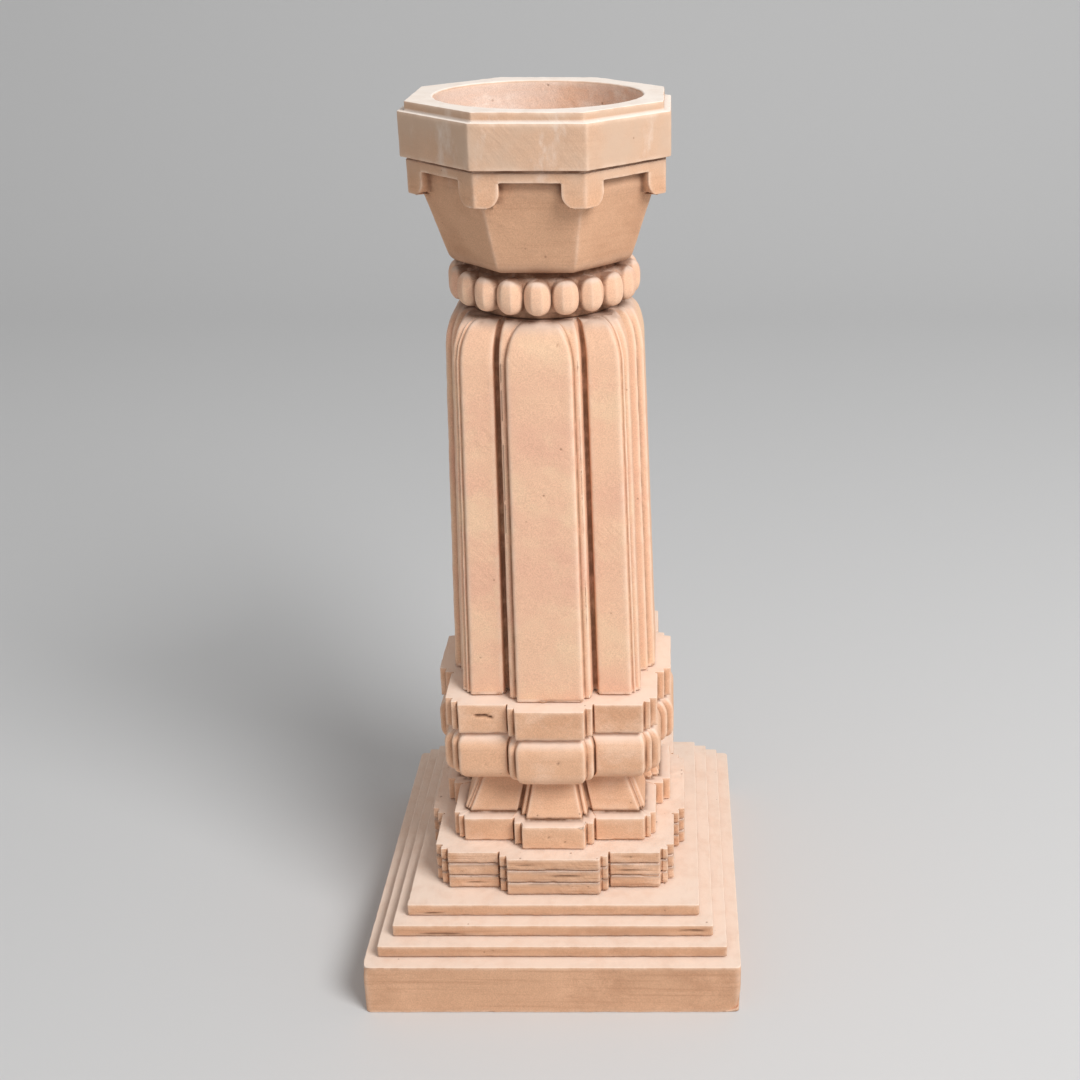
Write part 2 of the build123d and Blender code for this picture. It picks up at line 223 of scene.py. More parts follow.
class PLANTER_PG_stone(PropertyGroup):
    """Colours of the stone, the joints and the steel."""

    face: colour("Face", (0.790, 0.465, 0.290), "Fresh dressed sandstone")
    shaft: colour("Shaft", (0.865, 0.540, 0.362), "The paler block of the shaft and the beads")
    straw: colour("Straw", (0.870, 0.580, 0.385), "Yellower clouds in the shaft")
    rose: colour("Rose", (0.820, 0.475, 0.330), "Pinker clouds in the shaft")
    bed: colour("Bed", (0.715, 0.415, 0.255), "The browner stone of the steps and the bowl's body")
    grey: colour("Grey", (0.640, 0.450, 0.325), "Weathered stone round the bowl's band")
    seam: colour("Seam", (0.540, 0.285, 0.165), "Thin dark layers in the browner stone")
    # Rim is also painted top light: the bowl's level faces take it as their dust colour
    rim: colour("Rim", (0.950, 0.850, 0.765), "Bleached top of the bowl")
    pale: colour("Pale", (0.870, 0.570, 0.400), "Pale clouds in the stone")
    deep: colour("Deep", (0.650, 0.350, 0.205), "Darker clouds and bedding in the stone")
    # Rubbed is also the colour of a painted highlight along outer edges
    rubbed: colour("Rubbed", (0.920, 0.680, 0.520), "Edges rubbed pale")
    # Dust is also painted top light: every face that looks up takes it
    dust: colour("Dust", (0.910, 0.725, 0.600), "Fine stone dust lying on level faces")
    # Soil is also the colour of painted shade: in creases, on the shaft's top, between and over the
    # beads, under the bowl's apron and on its underside
    soil_and_shade: colour("Soil", (0.270, 0.135, 0.080), "Dirt held in grooves and joints")
    hollow: colour("Hollow", (0.800, 0.620, 0.520), "Stone inside the bowl")
    mortar: colour("Mortar", (0.560, 0.330, 0.210), "Lime and stone dust in the joints")
    steel: colour("Steel", (0.55, 0.54, 0.52), "Bars inside the column")


class PLANTER_PG_studio(PropertyGroup):
    """Camera, and the colour of the floor and backdrop."""

    camera_x: FloatProperty(name="Camera X", description="Camera place", default=0.1229, unit="LENGTH")
    camera_y: FloatProperty(name="Camera Y", description="Camera place", default=-1.3773, unit="LENGTH")
    camera_z: FloatProperty(name="Camera Z", description="Camera place", default=1.1145, unit="LENGTH")
    pitch: FloatProperty(
        name="Pitch", description="How far the camera looks down", default=math.radians(22.62),
        subtype="ANGLE",
    )
    lens: FloatProperty(name="Lens", description="Focal length in millimetres", default=47.36)
    shift_x: FloatProperty(name="Shift X", description="Sideways lens shift", default=-0.1189)
    shift_y: FloatProperty(name="Shift Y", description="Upward lens shift", default=-0.0622)
    floor: colour("Floor", (0.66, 0.66, 0.66), "Studio floor and backdrop")


class PLANTER_PG_settings(PropertyGroup):
    """Everything that the operators read."""

    foot: PointerProperty(type=FootPlan)
    lotus_band: PointerProperty(type=LotusBandPlan)
    lotus_root: PointerProperty(type=LotusRootPlan)
    lotus_tip: PointerProperty(type=LotusTipPlan)
    torus: PointerProperty(type=TorusPlan)
    collar: PointerProperty(type=CollarPlan)
    shaft: PointerProperty(type=ShaftPlan)
    carving: PointerProperty(type=PLANTER_PG_carving)
    beads: PointerProperty(type=PLANTER_PG_beads)
    bowl: PointerProperty(type=PLANTER_PG_bowl)
    stone: PointerProperty(type=PLANTER_PG_stone)
    studio: PointerProperty(type=PLANTER_PG_studio)


# ---------------------------------------------------------------------------------------------
# Outlines: every course is a stack of closed loops, and all its loops have the same points
# ---------------------------------------------------------------------------------------------


def plan_sizes(plan, carving):
    """The distances of one stepped plan, as a row of numbers that can be blended with another.

    Order: bay reach, bay, strip reach, strip end, groove floor, groove end, wing reach, wing end,
    corner end, cut line width, cut line depth.
    """
    strip_end = plan.bay + plan.strip
    return np.array([
        plan.bay_reach, plan.bay, (plan.bay_reach + plan.wing_reach) / 2, strip_end,
        plan.wing_reach - plan.groove_depth, strip_end + plan.groove, plan.wing_reach,
        plan.wing_end, plan.wing_end + plan.corner, carving.line, carving.line_depth,
    ])


# How an inset of 1 moves each of those distances: stone faces draw in and the gaps widen
INSET = np.array([-1, -1, -1, -1, -1, 1, -1, -1, -1, 2, 0])
# The same for a setback of the faces alone, and for one of the side ends alone
REACH_BACK = np.array([-1, 0, -1, 0, -1, 0, -1, 0, -1, 0, 0])
ENDS_IN = np.array([0, -1, 0, -1, 0, -1, 0, -1, -1, 0, 0])


def stepped_corners(rows, heights):
    """Corners of stepped plans, (level, corner, xyz), anticlockwise from the bay that faces +X.

    One side runs from its bay to the diagonal. Mirrored about the diagonal it fills a quarter,
    and turning the quarter three times closes the loop.
    """
    (bay_reach, bay, strip_reach, strip_end, groove_floor, groove_end, wing_reach, wing_end,
     corner_end, line, depth) = rows.T
    slant = (groove_end - strip_end) / 4
    side = [
        (bay_reach, bay),
        (strip_reach - depth, bay + line / 2),
        (strip_reach, bay + line),
        (strip_reach, strip_end),
        (groove_floor, strip_end + slant),
        (groove_floor, groove_end - slant),
        (wing_reach, groove_end),
        (wing_reach, wing_end),
        (corner_end - depth, wing_end + line / 2),
        (corner_end, wing_end + line),
    ]
    quarter = side + [(corner_end, corner_end)] + [(y, x) for x, y in reversed(side)]
    return raised(four_turns(np.stack([np.stack(point, -1) for point in quarter], 1)), heights)


def square_corners(half_widths, heights):
    """Corners of squares, (level, corner, xyz), from their half widths."""
    half = np.asarray(half_widths)
    return raised(four_turns(np.stack([half, half], -1)[:, None]), heights)


def four_turns(quarter):
    """A quarter of a flat loop and its copies turned by 90, 180 and 270 degrees."""
    x, y = quarter[..., 0], quarter[..., 1]
    turns = [(x, y), (-y, x), (-x, -y), (y, -x)]
    return np.concatenate([np.stack(turn, -1) for turn in turns], 1)


def raised(flat, heights):
    """Flat loops (level, point, xy) lifted to one height for each level."""
    z = np.broadcast_to(np.asarray(heights)[:, None, None], flat.shape[:2] + (1,))
    return np.concatenate([flat, z], -1)


def trace(corners, radius, pitch, steps=2):
    """Closed loops of points through corners, (level, point, xyz), with every corner rounded.

    A corner c becomes the curve (1-u)^2 a + 2u(1-u) c + u^2 b, where a and b lie up to `radius`
    before and after it. A straight run between two corners is divided evenly, into as many
    parts on every level as its longest level needs.
    """
    ahead = np.roll(corners, -1, 1) - corners
    run = np.linalg.norm(ahead, axis=-1)
    way = ahead / np.maximum(run, 1e-9)[..., None]
    before = np.minimum(radius, 0.42 * np.roll(run, 1, 1))
    after = np.minimum(radius, 0.42 * run)
    a = corners - np.roll(way, 1, 1) * before[..., None]
    b = corners + way * after[..., None]
    u = np.linspace(0, 1, steps + 1)[None, :, None]
    parts = []
    for k in range(corners.shape[1]):
        c = corners[:, k, None]
        parts.append((1 - u) ** 2 * a[:, k, None] + 2 * u * (1 - u) * c + u**2 * b[:, k, None])
        count = int(np.ceil(run[:, k].max() / pitch))
        if count > 1:
            t = (np.arange(1, count) / count)[None, :, None]
            following = (k + 1) % corners.shape[1]
            parts.append(b[:, k, None] * (1 - t) + a[:, following, None] * t)
    return np.concatenate(parts, 1)


def circle_like(loop, radius, height):
    """The points of one loop moved straight in or out to a circle round the axis."""
    flat = loop[:, :2] * (radius / np.linalg.norm(loop[:, :2], axis=-1, keepdims=True))
    return np.concatenate([flat, np.full((len(loop), 1), height)], -1)


def course_rows(base, top, arris, pitch, foot=0.5):
    """Inset and height up one course: a small quarter round, an upright wall, a quarter round."""
    turn = np.linspace(0, math.pi / 2, 5)
    count = max(3, int((top - base - 2 * arris) / pitch) + 1)
    wall = np.linspace(base + foot * arris, top - arris, count)[1:-1]
    inset = arris * (1 - np.sin(turn))
    rise = arris * (1 - np.cos(turn))
    heights = np.concatenate([base + foot * rise, wall, top - rise[::-1]])
    return np.concatenate([foot * inset, np.zeros(len(wall)), inset[::-1]]), heights


def circles(radius, heights, count=BORE_SIDES):
    """Circles round the axis, one for each height."""
    turn = np.linspace(0, 2 * math.pi, count, endpoint=False)
    ring = radius * np.stack([np.cos(turn), np.sin(turn)], -1)
    return raised(np.broadcast_to(ring, (len(heights), count, 2)), heights)


# ---------------------------------------------------------------------------------------------
# Wear and painted light: rubbed edges with a painted highlight, dirt and painted shade,
# dust and painted top light, and how far a face has moved
# ---------------------------------------------------------------------------------------------


def bend(lines, spread, closed):
    """How much each line turns near each of its points, in quarter turns, left being positive.

    The turn at every point counts by exp(-distance / spread), the distance measured along the
    line. Lines are (line, point, 2).
    """
    result = np.empty(lines.shape[:2])
    for k, line in enumerate(lines):
        step = np.roll(line, -1, 0) - line
        span = np.linalg.norm(step, axis=-1)
        angle = np.arctan2(step[:, 1], step[:, 0])
        turn = (angle - np.roll(angle, 1) + math.pi) % (2 * math.pi) - math.pi
        turn[(span < 1e-7) | (np.roll(span, 1) < 1e-7)] = 0
        if not closed:
            turn[[0, -1]] = 0
        place = np.concatenate([[0], np.cumsum(span)[:-1]])
        gap = np.abs(place[:, None] - place[None])
        if closed:
            gap = np.minimum(gap, span.sum() - gap)
        result[k] = np.exp(-gap / spread) @ turn
    return result / (math.pi / 2)


def noise(points, size, seed):
    """Smooth noise from -1 to 1: random values on a cubic lattice of cells `size` wide, blended
    between a cell's eight corners by 3t^2 - 2t^3 along each axis."""
    table = np.random.default_rng(seed).uniform(-1, 1, (LATTICE, LATTICE, LATTICE))
    scaled = points / size
    cell = np.floor(scaled).astype(int)
    t = scaled - cell
    t = t * t * (3 - 2 * t)
    total = np.zeros(points.shape[:-1])
    for i in (0, 1):
        for j in (0, 1):
            for k in (0, 1):
                weight = np.abs((1 - i - t[..., 0]) * (1 - j - t[..., 1]) * (1 - k - t[..., 2]))
                corner = (cell + (i, j, k)) % LATTICE
                total += weight * table[corner[..., 0], corner[..., 1], corner[..., 2]]
    return total


def smoothstep(low, high, x):
    """0 below low, 1 above high, and 3t^2 - 2t^3 between."""
    t = np.clip((x - low) / (high - low), 0, 1)
    return t * t * (3 - 2 * t)


def stack_normals(points):
    """Outward normals of a stack of loops: along the loop crossed with up the stack."""
    along = np.roll(points, -1, 1) - np.roll(points, 1, 1)
    up = np.gradient(points, axis=0)
    normal = np.cross(along, up)
    return normal / np.maximum(np.linalg.norm(normal, axis=-1, keepdims=True), 1e-12)


def dents(points, places):
    """Depth of listed dents: depth * exp(-(dx/a)^2 - (dy/b)^2 - (dz/c)^2) for each.

    A place is (x, y, z, a, b, c, depth) in millimetres.
    """
    total = np.zeros(points.shape[:-1])
    for x, y, z, a, b, c, depth in places:
        away = (points / MM - (x, y, z)) / (a, b, c)
        total = np.maximum(total, depth * MM * np.exp(-(away**2).sum(-1)))
    return total


def weathered(points, seed, rough=1.0, places=(), rubbed=()):
    """A wall's points after years outdoors, and their marks (worn edge and painted highlight, soil
    and painted shade, dust and painted top light).

    Faces wander inward by slow noise and a finer one, and near outer edges a patchy noise takes
    chips off. Everything moves inward only, so a stone stays within its sizes. Soil and painted
    shade gather where the wall turns inward: thick close to the corner, thin further out, and a
    broad painted shade spreads round every inward turn. Outer edges are marked to turn pale, as
    rubbed stone and as a painted highlight, and faces that look up are marked for dust and painted
    top light. Dents at `places` hold soil, and those at `rubbed` are clean. The first and the last
    loop stay level, because flat faces close them.
    """
    carving = bpy.context.scene.planter.carving
    normal = stack_normals(points)
    upright = 1 - normal[..., 2] ** 2
    radius = np.linalg.norm(points[..., :2], axis=-1)
    side_on = np.stack([radius, points[..., 2]], -1).swapaxes(0, 1)
    spreads = (1.6 * MM, 3 * MM, 9 * MM)
    around = [bend(points[..., :2], spread, True) * upright for spread in spreads]
    upward = [bend(side_on, spread, False).T for spread in spreads]
    # Outer edges: rubbed pale, and a painted highlight
    worn_and_highlight = np.clip(np.maximum(around[0], upward[0]), 0, 1)
    # Inward turns darken: close by, soil and painted shade; the wide spread is painted shade alone
    close, wide = around[1] + upward[1], around[2] + upward[2]
    soil_and_shade = np.clip(np.maximum(-close, -0.4 * wide), 0, 1)
    slow = noise(points, 55 * MM, seed) + 0.5 * noise(points, 19 * MM, seed + 1)
    fine = noise(points, 6 * MM, seed + 2)
    inward = carving.unevenness * (0.5 + 0.33 * slow) + 0.1 * MM * rough * (1 + fine)
    patch = noise(points * (1, 1, 1.6), 24 * MM, seed + 3) + 0.5 * noise(points, 6 * MM, seed + 4)
    chip = smoothstep(0.42, 1.15, patch) * worn_and_highlight**2
    inward = inward + rough * (carving.chip * chip + 0.2 * MM * worn_and_highlight * (1 + fine))
    hole = dents(points, places)
    inward = np.maximum(inward, 0) + np.maximum(hole, dents(points, rubbed))
    soil_and_shade = np.maximum(soil_and_shade, smoothstep(0.6 * MM, 1.8 * MM, hole))
    # Faces that look up: dust, and painted top light
    dust = smoothstep(0.35, 0.9, normal[..., 2])
    marks = np.stack([np.clip(worn_and_highlight - 0.5 * chip, 0, 1), soil_and_shade, dust], -1)
    moved = points - normal * inward[..., None]
    for end in (0, -1):
        moved[end, :, 2] = moved[end, :, 2].mean()
    return moved, marks


def toward_axis(points, distance):
    """The points moved level toward the axis, each by its own distance."""
    moved = points.copy()
    moved[..., :2] *= (1 - distance / np.linalg.norm(points[..., :2], axis=-1))[..., None]
    return moved


def stain_and_shade(points, marks, height, spread, strength, seed):
    """Darken a level, as soil in a joint or as painted shade: the soil-and-shade mark there is at
    least strength * exp(-|z - height| / spread), made patchy by noise."""
    patchy = 0.8 + 0.35 * noise(points, 11 * MM, seed)
    level = strength * patchy * np.exp(-np.abs(points[..., 2] - height) / spread)
    marks[..., 1] = np.maximum(marks[..., 1], np.clip(level, 0, 1))


# ---------------------------------------------------------------------------------------------
# Meshes
# ---------------------------------------------------------------------------------------------


class Shell:
    """The skin of one piece: its points, and its faces with marks and a material number."""

    def __init__(self):
        self.points = np.empty((0, 3))
        self.faces, self.marks, self.slots, self.smooth = [], [], [], []

    def add(self, faces, marks, slot, smooth):
        """Keep faces, given as point numbers, with marks for each of their corners."""
        self.faces += faces.tolist()
        self.marks.append(marks.reshape(-1, 3))
        self.slots.append(np.broadcast_to(slot, len(faces)))
        self.smooth.append(np.full(len(faces), smooth))

    def wall(self, points, marks=None, slot=0):
        """Quads of a stack of closed loops. Returns the point numbers of its two end loops."""
        marks = np.zeros(points.shape) if marks is None else marks
        i = len(self.points) + np.arange(points[..., 0].size).reshape(points.shape[:2])
        j = np.roll(i, -1, 1)
        quads = np.stack([i[:-1], j[:-1], j[1:], i[1:]], -1).reshape(-1, 4)
        self.points = np.concatenate([self.points, points.reshape(-1, 3)])
        self.add(quads, marks.reshape(-1, 3)[quads - i[0, 0]], slot, True)
        return i[0], i[-1]

    def flat(self, outline, hole, upward, slot=0, soil_and_shade=0.0):
        """A level face inside one loop, outside another where there is a hole."""
        loops = [outline] if hole is None else [outline, hole]
        numbers = np.concatenate(loops)
        points = self.points[numbers]
        lines = [[Vector(point) for point in self.points[loop].tolist()] for loop in loops]
        triangles = np.array(tessellate_polygon(lines))
        a, b, c = points[triangles].swapaxes(0, 1)
        turned = (np.cross(b - a, c - a)[:, 2] > 0) != upward
        triangles[turned] = triangles[turned][:, ::-1]
        # Upward faces take the whole dust mark: dust, and painted top light
        marks = np.broadcast_to((0.0, soil_and_shade, float(upward)), triangles.shape + (3,))
        self.add(numbers[triangles], marks, slot, False)

    def end(self, outline, upward, depth=0.0, soil_and_shade=0.0):
        """A flat end, whole or with a round socket of some depth for a bar."""
        height = self.points[outline[0], 2]
        if not depth:
            return self.flat(outline, None, upward, soil_and_shade=soil_and_shade)
        inner = height - depth if upward else height + depth
        upper, lower = self.wall(circles(bore_radius(), sorted((height, inner), reverse=True)))
        mouth, floor = (upper, lower) if upward else (lower, upper)
        self.flat(outline, mouth, upward, soil_and_shade=soil_and_shade)
        self.flat(floor, None, upward)

    def bored(self, low, high):
        """Both flat ends, with one round bore through them."""
        heights = self.points[[high[0], low[0]], 2]
        upper, lower = self.wall(circles(bore_radius(), heights))
        self.flat(high, upper, True)
        self.flat(low, lower, False)

    def piece(self, name, nodes, materials, slot="sandstone"):
        """The finished object, in its place, riding on the body and standing for its nodes."""
        mesh = bpy.data.meshes.new(name)
        mesh.from_pydata(self.points.tolist(), [], self.faces)
        for material in materials:
            mesh.materials.append(material)
        mesh.polygons.foreach_set("material_index", np.concatenate(self.slots).astype(np.int32))
        mesh.polygons.foreach_set("use_smooth", np.concatenate(self.smooth))
        attribute = mesh.attributes.new("marks", "FLOAT_VECTOR", "CORNER")
        attribute.data.foreach_set("vector", np.concatenate(self.marks).astype(np.float32).ravel())
        mesh.update()
        mesh.validate()
        piece = bpy.data.objects.new(name, mesh)
        bpy.context.scene.collection.objects.link(piece)
        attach(piece, BODY)
        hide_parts(*nodes)
        return piece


def drill(piece, start, end, radius):
    """Cut a round hole through a piece from one point to another, in the piece's own mesh."""
    start, end = np.array(start), np.array(end)
    along = (end - start) / np.linalg.norm(end - start)
    across = np.cross(along, (0, 0, 1))
    turn = np.linspace(0, 2 * math.pi, BORE_SIDES, endpoint=False)[:, None]
    ring = radius * (np.cos(turn) * across + np.sin(turn) * np.cross(along, across))
    tube = np.stack([start + ring, end + ring])
    near = np.arange(BORE_SIDES)
    far = near + BORE_SIDES
    sides = np.stack([near, np.roll(near, -1), np.roll(far, -1), far], -1).tolist()
    caps = [near[::-1].tolist(), far.tolist()]
    mesh = bpy.data.meshes.new("drill")
    mesh.from_pydata(tube.reshape(-1, 3).tolist(), [], sides + caps)
    cutter = bpy.data.objects.new("drill", mesh)
    bpy.context.scene.collection.objects.link(cutter)
    boolean = piece.modifiers.new("drill", "BOOLEAN")
    boolean.object = cutter
    boolean.operation = "DIFFERENCE"
    boolean.solver = "EXACT"
    bpy.context.view_layer.update()
    solid = piece.evaluated_get(bpy.context.evaluated_depsgraph_get())
    cut = bpy.data.meshes.new_from_object(solid)
    piece.modifiers.clear()
    piece.data = cut
    bpy.data.objects.remove(cutter)


def bore_radius():
    """Radius kept clear round a bar inside a stone: a little more than the bar's own."""
    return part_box("core_rod")[1].x + BAR_CLEARANCE


def bored_shell(name, node, points, marks, material, slot="sandstone"):
    """A piece of one wall, closed by two flat ends with a bore through them."""
    shell = Shell()
    shell.bored(*shell.wall(points, marks))
    return shell.piece(name, [node], [material], slot)


def bored_piece(name, node, wall, seed, material, rough=1.0, places=(), rubbed=(), joints=(0, 0)):
    """A weathered wall, closed and bored.

    The joints are how much soil the lowest and the highest edge hold.
    """
    points, marks = weathered(wall, seed, rough, places, rubbed)
    for corner, strength in zip(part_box(node), joints):
        stain_and_shade(points, marks, corner.z, 1.6 * MM, strength, seed + 5)
    return bored_shell(name, node, points, marks, material)


def stepped_course(name, node, plan, seed, material, rough=1.0, places=(), joints=(0, 0), foot=0.5):
    """One upright course cut to a stepped plan."""
    carving = bpy.context.scene.planter.carving
    low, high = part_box(node)
    pitch = 0.6 * carving.pitch
    inset, heights = course_rows(low.z, high.z, carving.arris, pitch, foot)
    rows = plan_sizes(plan, carving)[None] + inset[:, None] * INSET
    wall = trace(stepped_corners(rows, heights), carving.arris, pitch)
    return bored_piece(name, node, wall, seed, material, rough, places, joints=joints)


# ---------------------------------------------------------------------------------------------
# Materials
# ---------------------------------------------------------------------------------------------


def add_node(tree, kind, **settings):
    """A shader node with its settings; a key that names no setting sets an input's value."""
    node = tree.nodes.new("ShaderNode" + kind)
    for key, value in settings.items():
        if hasattr(node, key):
            setattr(node, key, value)
        else:
            node.inputs[key.replace("_", " ")].default_value = value
    return node


def join(tree, value, socket):
    """Link a socket to an input, or set the input to a plain value."""
    if isinstance(value, bpy.types.NodeSocket):
        tree.links.new(value, socket)
    else:
        socket.default_value = value


def mix_colour(tree, factor, low, high, blend="MIX"):
    """Blend two colours; each argument is a socket or a value."""
    node = add_node(tree, "Mix", data_type="RGBA", blend_type=blend)
    for index, value in ((0, factor), (6, low), (7, high)):
        join(tree, value, node.inputs[index])
    return node.outputs[2]


def maths(tree, operation, first, second=0.0, third=0.0, clamp=False):
    """One Math node; each argument is a socket or a number."""
    node = add_node(tree, "Math", operation=operation, use_clamp=clamp)
    for index, value in enumerate((first, second, third)):
        join(tree, value, node.inputs[index])
    return node.outputs[0]


def ranged(tree, value, low, high, to_low=0.0, to_high=1.0):
    """Smooth map of a socket from one range to another."""
    node = add_node(tree, "MapRange", interpolation_type="SMOOTHSTEP")
    for index, number in enumerate((value, low, high, to_low, to_high)):
        join(tree, number, node.inputs[index])
    return node.outputs["Result"]


def texture(tree, vector, scale, stretch=(1, 1, 1), detail=3.0, roughness=0.55, turn=(0, 0, 0)):
    """A noise texture on turned and stretched object coordinates."""
    mapping = add_node(tree, "Mapping", vector_type="TEXTURE")
    mapping.inputs["Rotation"].default_value = turn
    mapping.inputs["Scale"].default_value = tuple(1 / factor for factor in stretch)
    tree.links.new(vector, mapping.inputs["Vector"])
    node = add_node(tree, "TexNoise", Scale=scale, Detail=detail, Roughness=roughness)
    tree.links.new(mapping.outputs[0], node.inputs["Vector"])
    return node.outputs["Fac"]


VECTOR, FLOAT, COLOUR = "NodeSocketVector", "NodeSocketFloat", "NodeSocketColor"


def new_group(name, inputs, outputs):
    """A shader node group with its named sockets, and its input and output nodes."""
    group = bpy.data.node_groups.new(name, "ShaderNodeTree")
    for label, kind, default in inputs:
        socket = group.interface.new_socket(name=label, in_out="INPUT", socket_type=kind)
        if default is not None:
            socket.default_value = default
    for label, kind in outputs:
        group.interface.new_socket(name=label, in_out="OUTPUT", socket_type=kind)
    return group, group.nodes.new("NodeGroupInput").outputs, group.nodes.new("NodeGroupOutput").inputs


def clouds_group():
    """Colour of bare sandstone: slow clouds from deep to pale, thin bedding and a sandy grain."""
    group, given, out = new_group(
        "Sandstone clouds",
        [("Vector", VECTOR, None), ("Face", COLOUR, None), ("Pale", COLOUR, None),
         ("Deep", COLOUR, None), ("Clouds", FLOAT, 1.0), ("Bedding", FLOAT, 1.0)],
        [("Color", COLOUR), ("Sand", FLOAT)],
    )
    vector = given["Vector"]
    slow = texture(group, vector, 7.0, (1, 1, 1.5), detail=5.0, roughness=0.6)
    deep = maths(group, "MULTIPLY", ranged(group, slow, 0.45, 0.68, 0, 0.75), given["Clouds"])
    tint = mix_colour(group, deep, given["Face"], given["Deep"])
    other = texture(group, vector, 15.0, (1, 1, 1.2), detail=5.0, roughness=0.62)
    pale = maths(group, "MULTIPLY", ranged(group, other, 0.48, 0.70, 0, 0.85), given["Clouds"])
    tint = mix_colour(group, pale, tint, given["Pale"])
    beds = texture(group, vector, 1.0, (7, 7, 230), detail=3.0, roughness=0.6)
    beds = maths(group, "MULTIPLY", ranged(group, beds, 0.50, 0.72, 0, 0.5), given["Bedding"])
    tint = mix_colour(group, beds, tint, given["Deep"])
    sand = texture(group, vector, 850.0, detail=2.0, roughness=0.7)
    light = ranged(group, sand, 0.33, 0.67, 0.90, 1.08)
    scaled = add_node(group, "VectorMath", operation="SCALE")
    group.links.new(tint, scaled.inputs[0])
    group.links.new(light, scaled.inputs["Scale"])
    group.links.new(scaled.outputs[0], out["Color"])
    group.links.new(sand, out["Sand"])
    return group


def tooling_group():
    """Height of the dressed face: level chisel lines and slanted strokes, each in patches, over
    a soft undulation."""
    group, given, out = new_group(
        "Dressing lines", [("Vector", VECTOR, None), ("Lines", FLOAT, 1.0)], [("Height", FLOAT)],
    )
    vector = given["Vector"]
    lines = texture(group, vector, 1.0, (26, 26, 380), detail=2.0, roughness=0.5)
    patches = ranged(group, texture(group, vector, 22.0, detail=2.0), 0.45, 0.62)
    lines = maths(group, "MULTIPLY", maths(group, "MULTIPLY", lines, patches), given["Lines"])
    strokes = texture(group, vector, 1.0, (60, 60, 260), detail=2.0, turn=(0.0, 0.9, 0.4))
    struck = ranged(group, texture(group, vector, 11.0, detail=3.0), 0.50, 0.62)
    strokes = maths(group, "MULTIPLY", strokes, struck)
    soft = texture(group, vector, 130.0, detail=4.0, roughness=0.6)
    height = maths(group, "MULTIPLY_ADD", lines, 0.6, soft)
    group.links.new(maths(group, "MULTIPLY_ADD", strokes, 1.2, height), out["Height"])
    return group


def pits_group():
    """Mask of small round pits, one in some of the cells of a cellular pattern."""
    group, given, out = new_group(
        "Pits", [("Vector", VECTOR, None), ("Scale", FLOAT, 90.0), ("Amount", FLOAT, 0.5)],
        [("Mask", FLOAT)],
    )
    cells = add_node(group, "TexVoronoi", feature="F1")
    group.links.new(given["Vector"], cells.inputs["Vector"])
    group.links.new(given["Scale"], cells.inputs["Scale"])
    apart = add_node(group, "SeparateColor")
    group.links.new(cells.outputs["Color"], apart.inputs[0])
    chosen = maths(group, "LESS_THAN", apart.outputs[0], given["Amount"])
    size = maths(group, "MULTIPLY_ADD", apart.outputs[1], 0.16, 0.05)
    depth = maths(group, "DIVIDE", cells.outputs["Distance"], size)
    dip = maths(group, "SUBTRACT", 1.0, depth, clamp=True)
    group.links.new(maths(group, "MULTIPLY", dip, chosen), out["Mask"])
    return group


def group_node(tree, name, make, vector, **values):
    """The named group in a material, built the first time it is asked for."""
    node = tree.nodes.new("ShaderNodeGroup")
    node.node_tree = bpy.data.node_groups.get(name) or make()
    tree.links.new(vector, node.inputs["Vector"])
    for key, value in values.items():
        node.inputs[key].default_value = value
    return node.outputs


def opaque(tint):
    """A colour with full alpha."""
    return (*tint, 1.0)


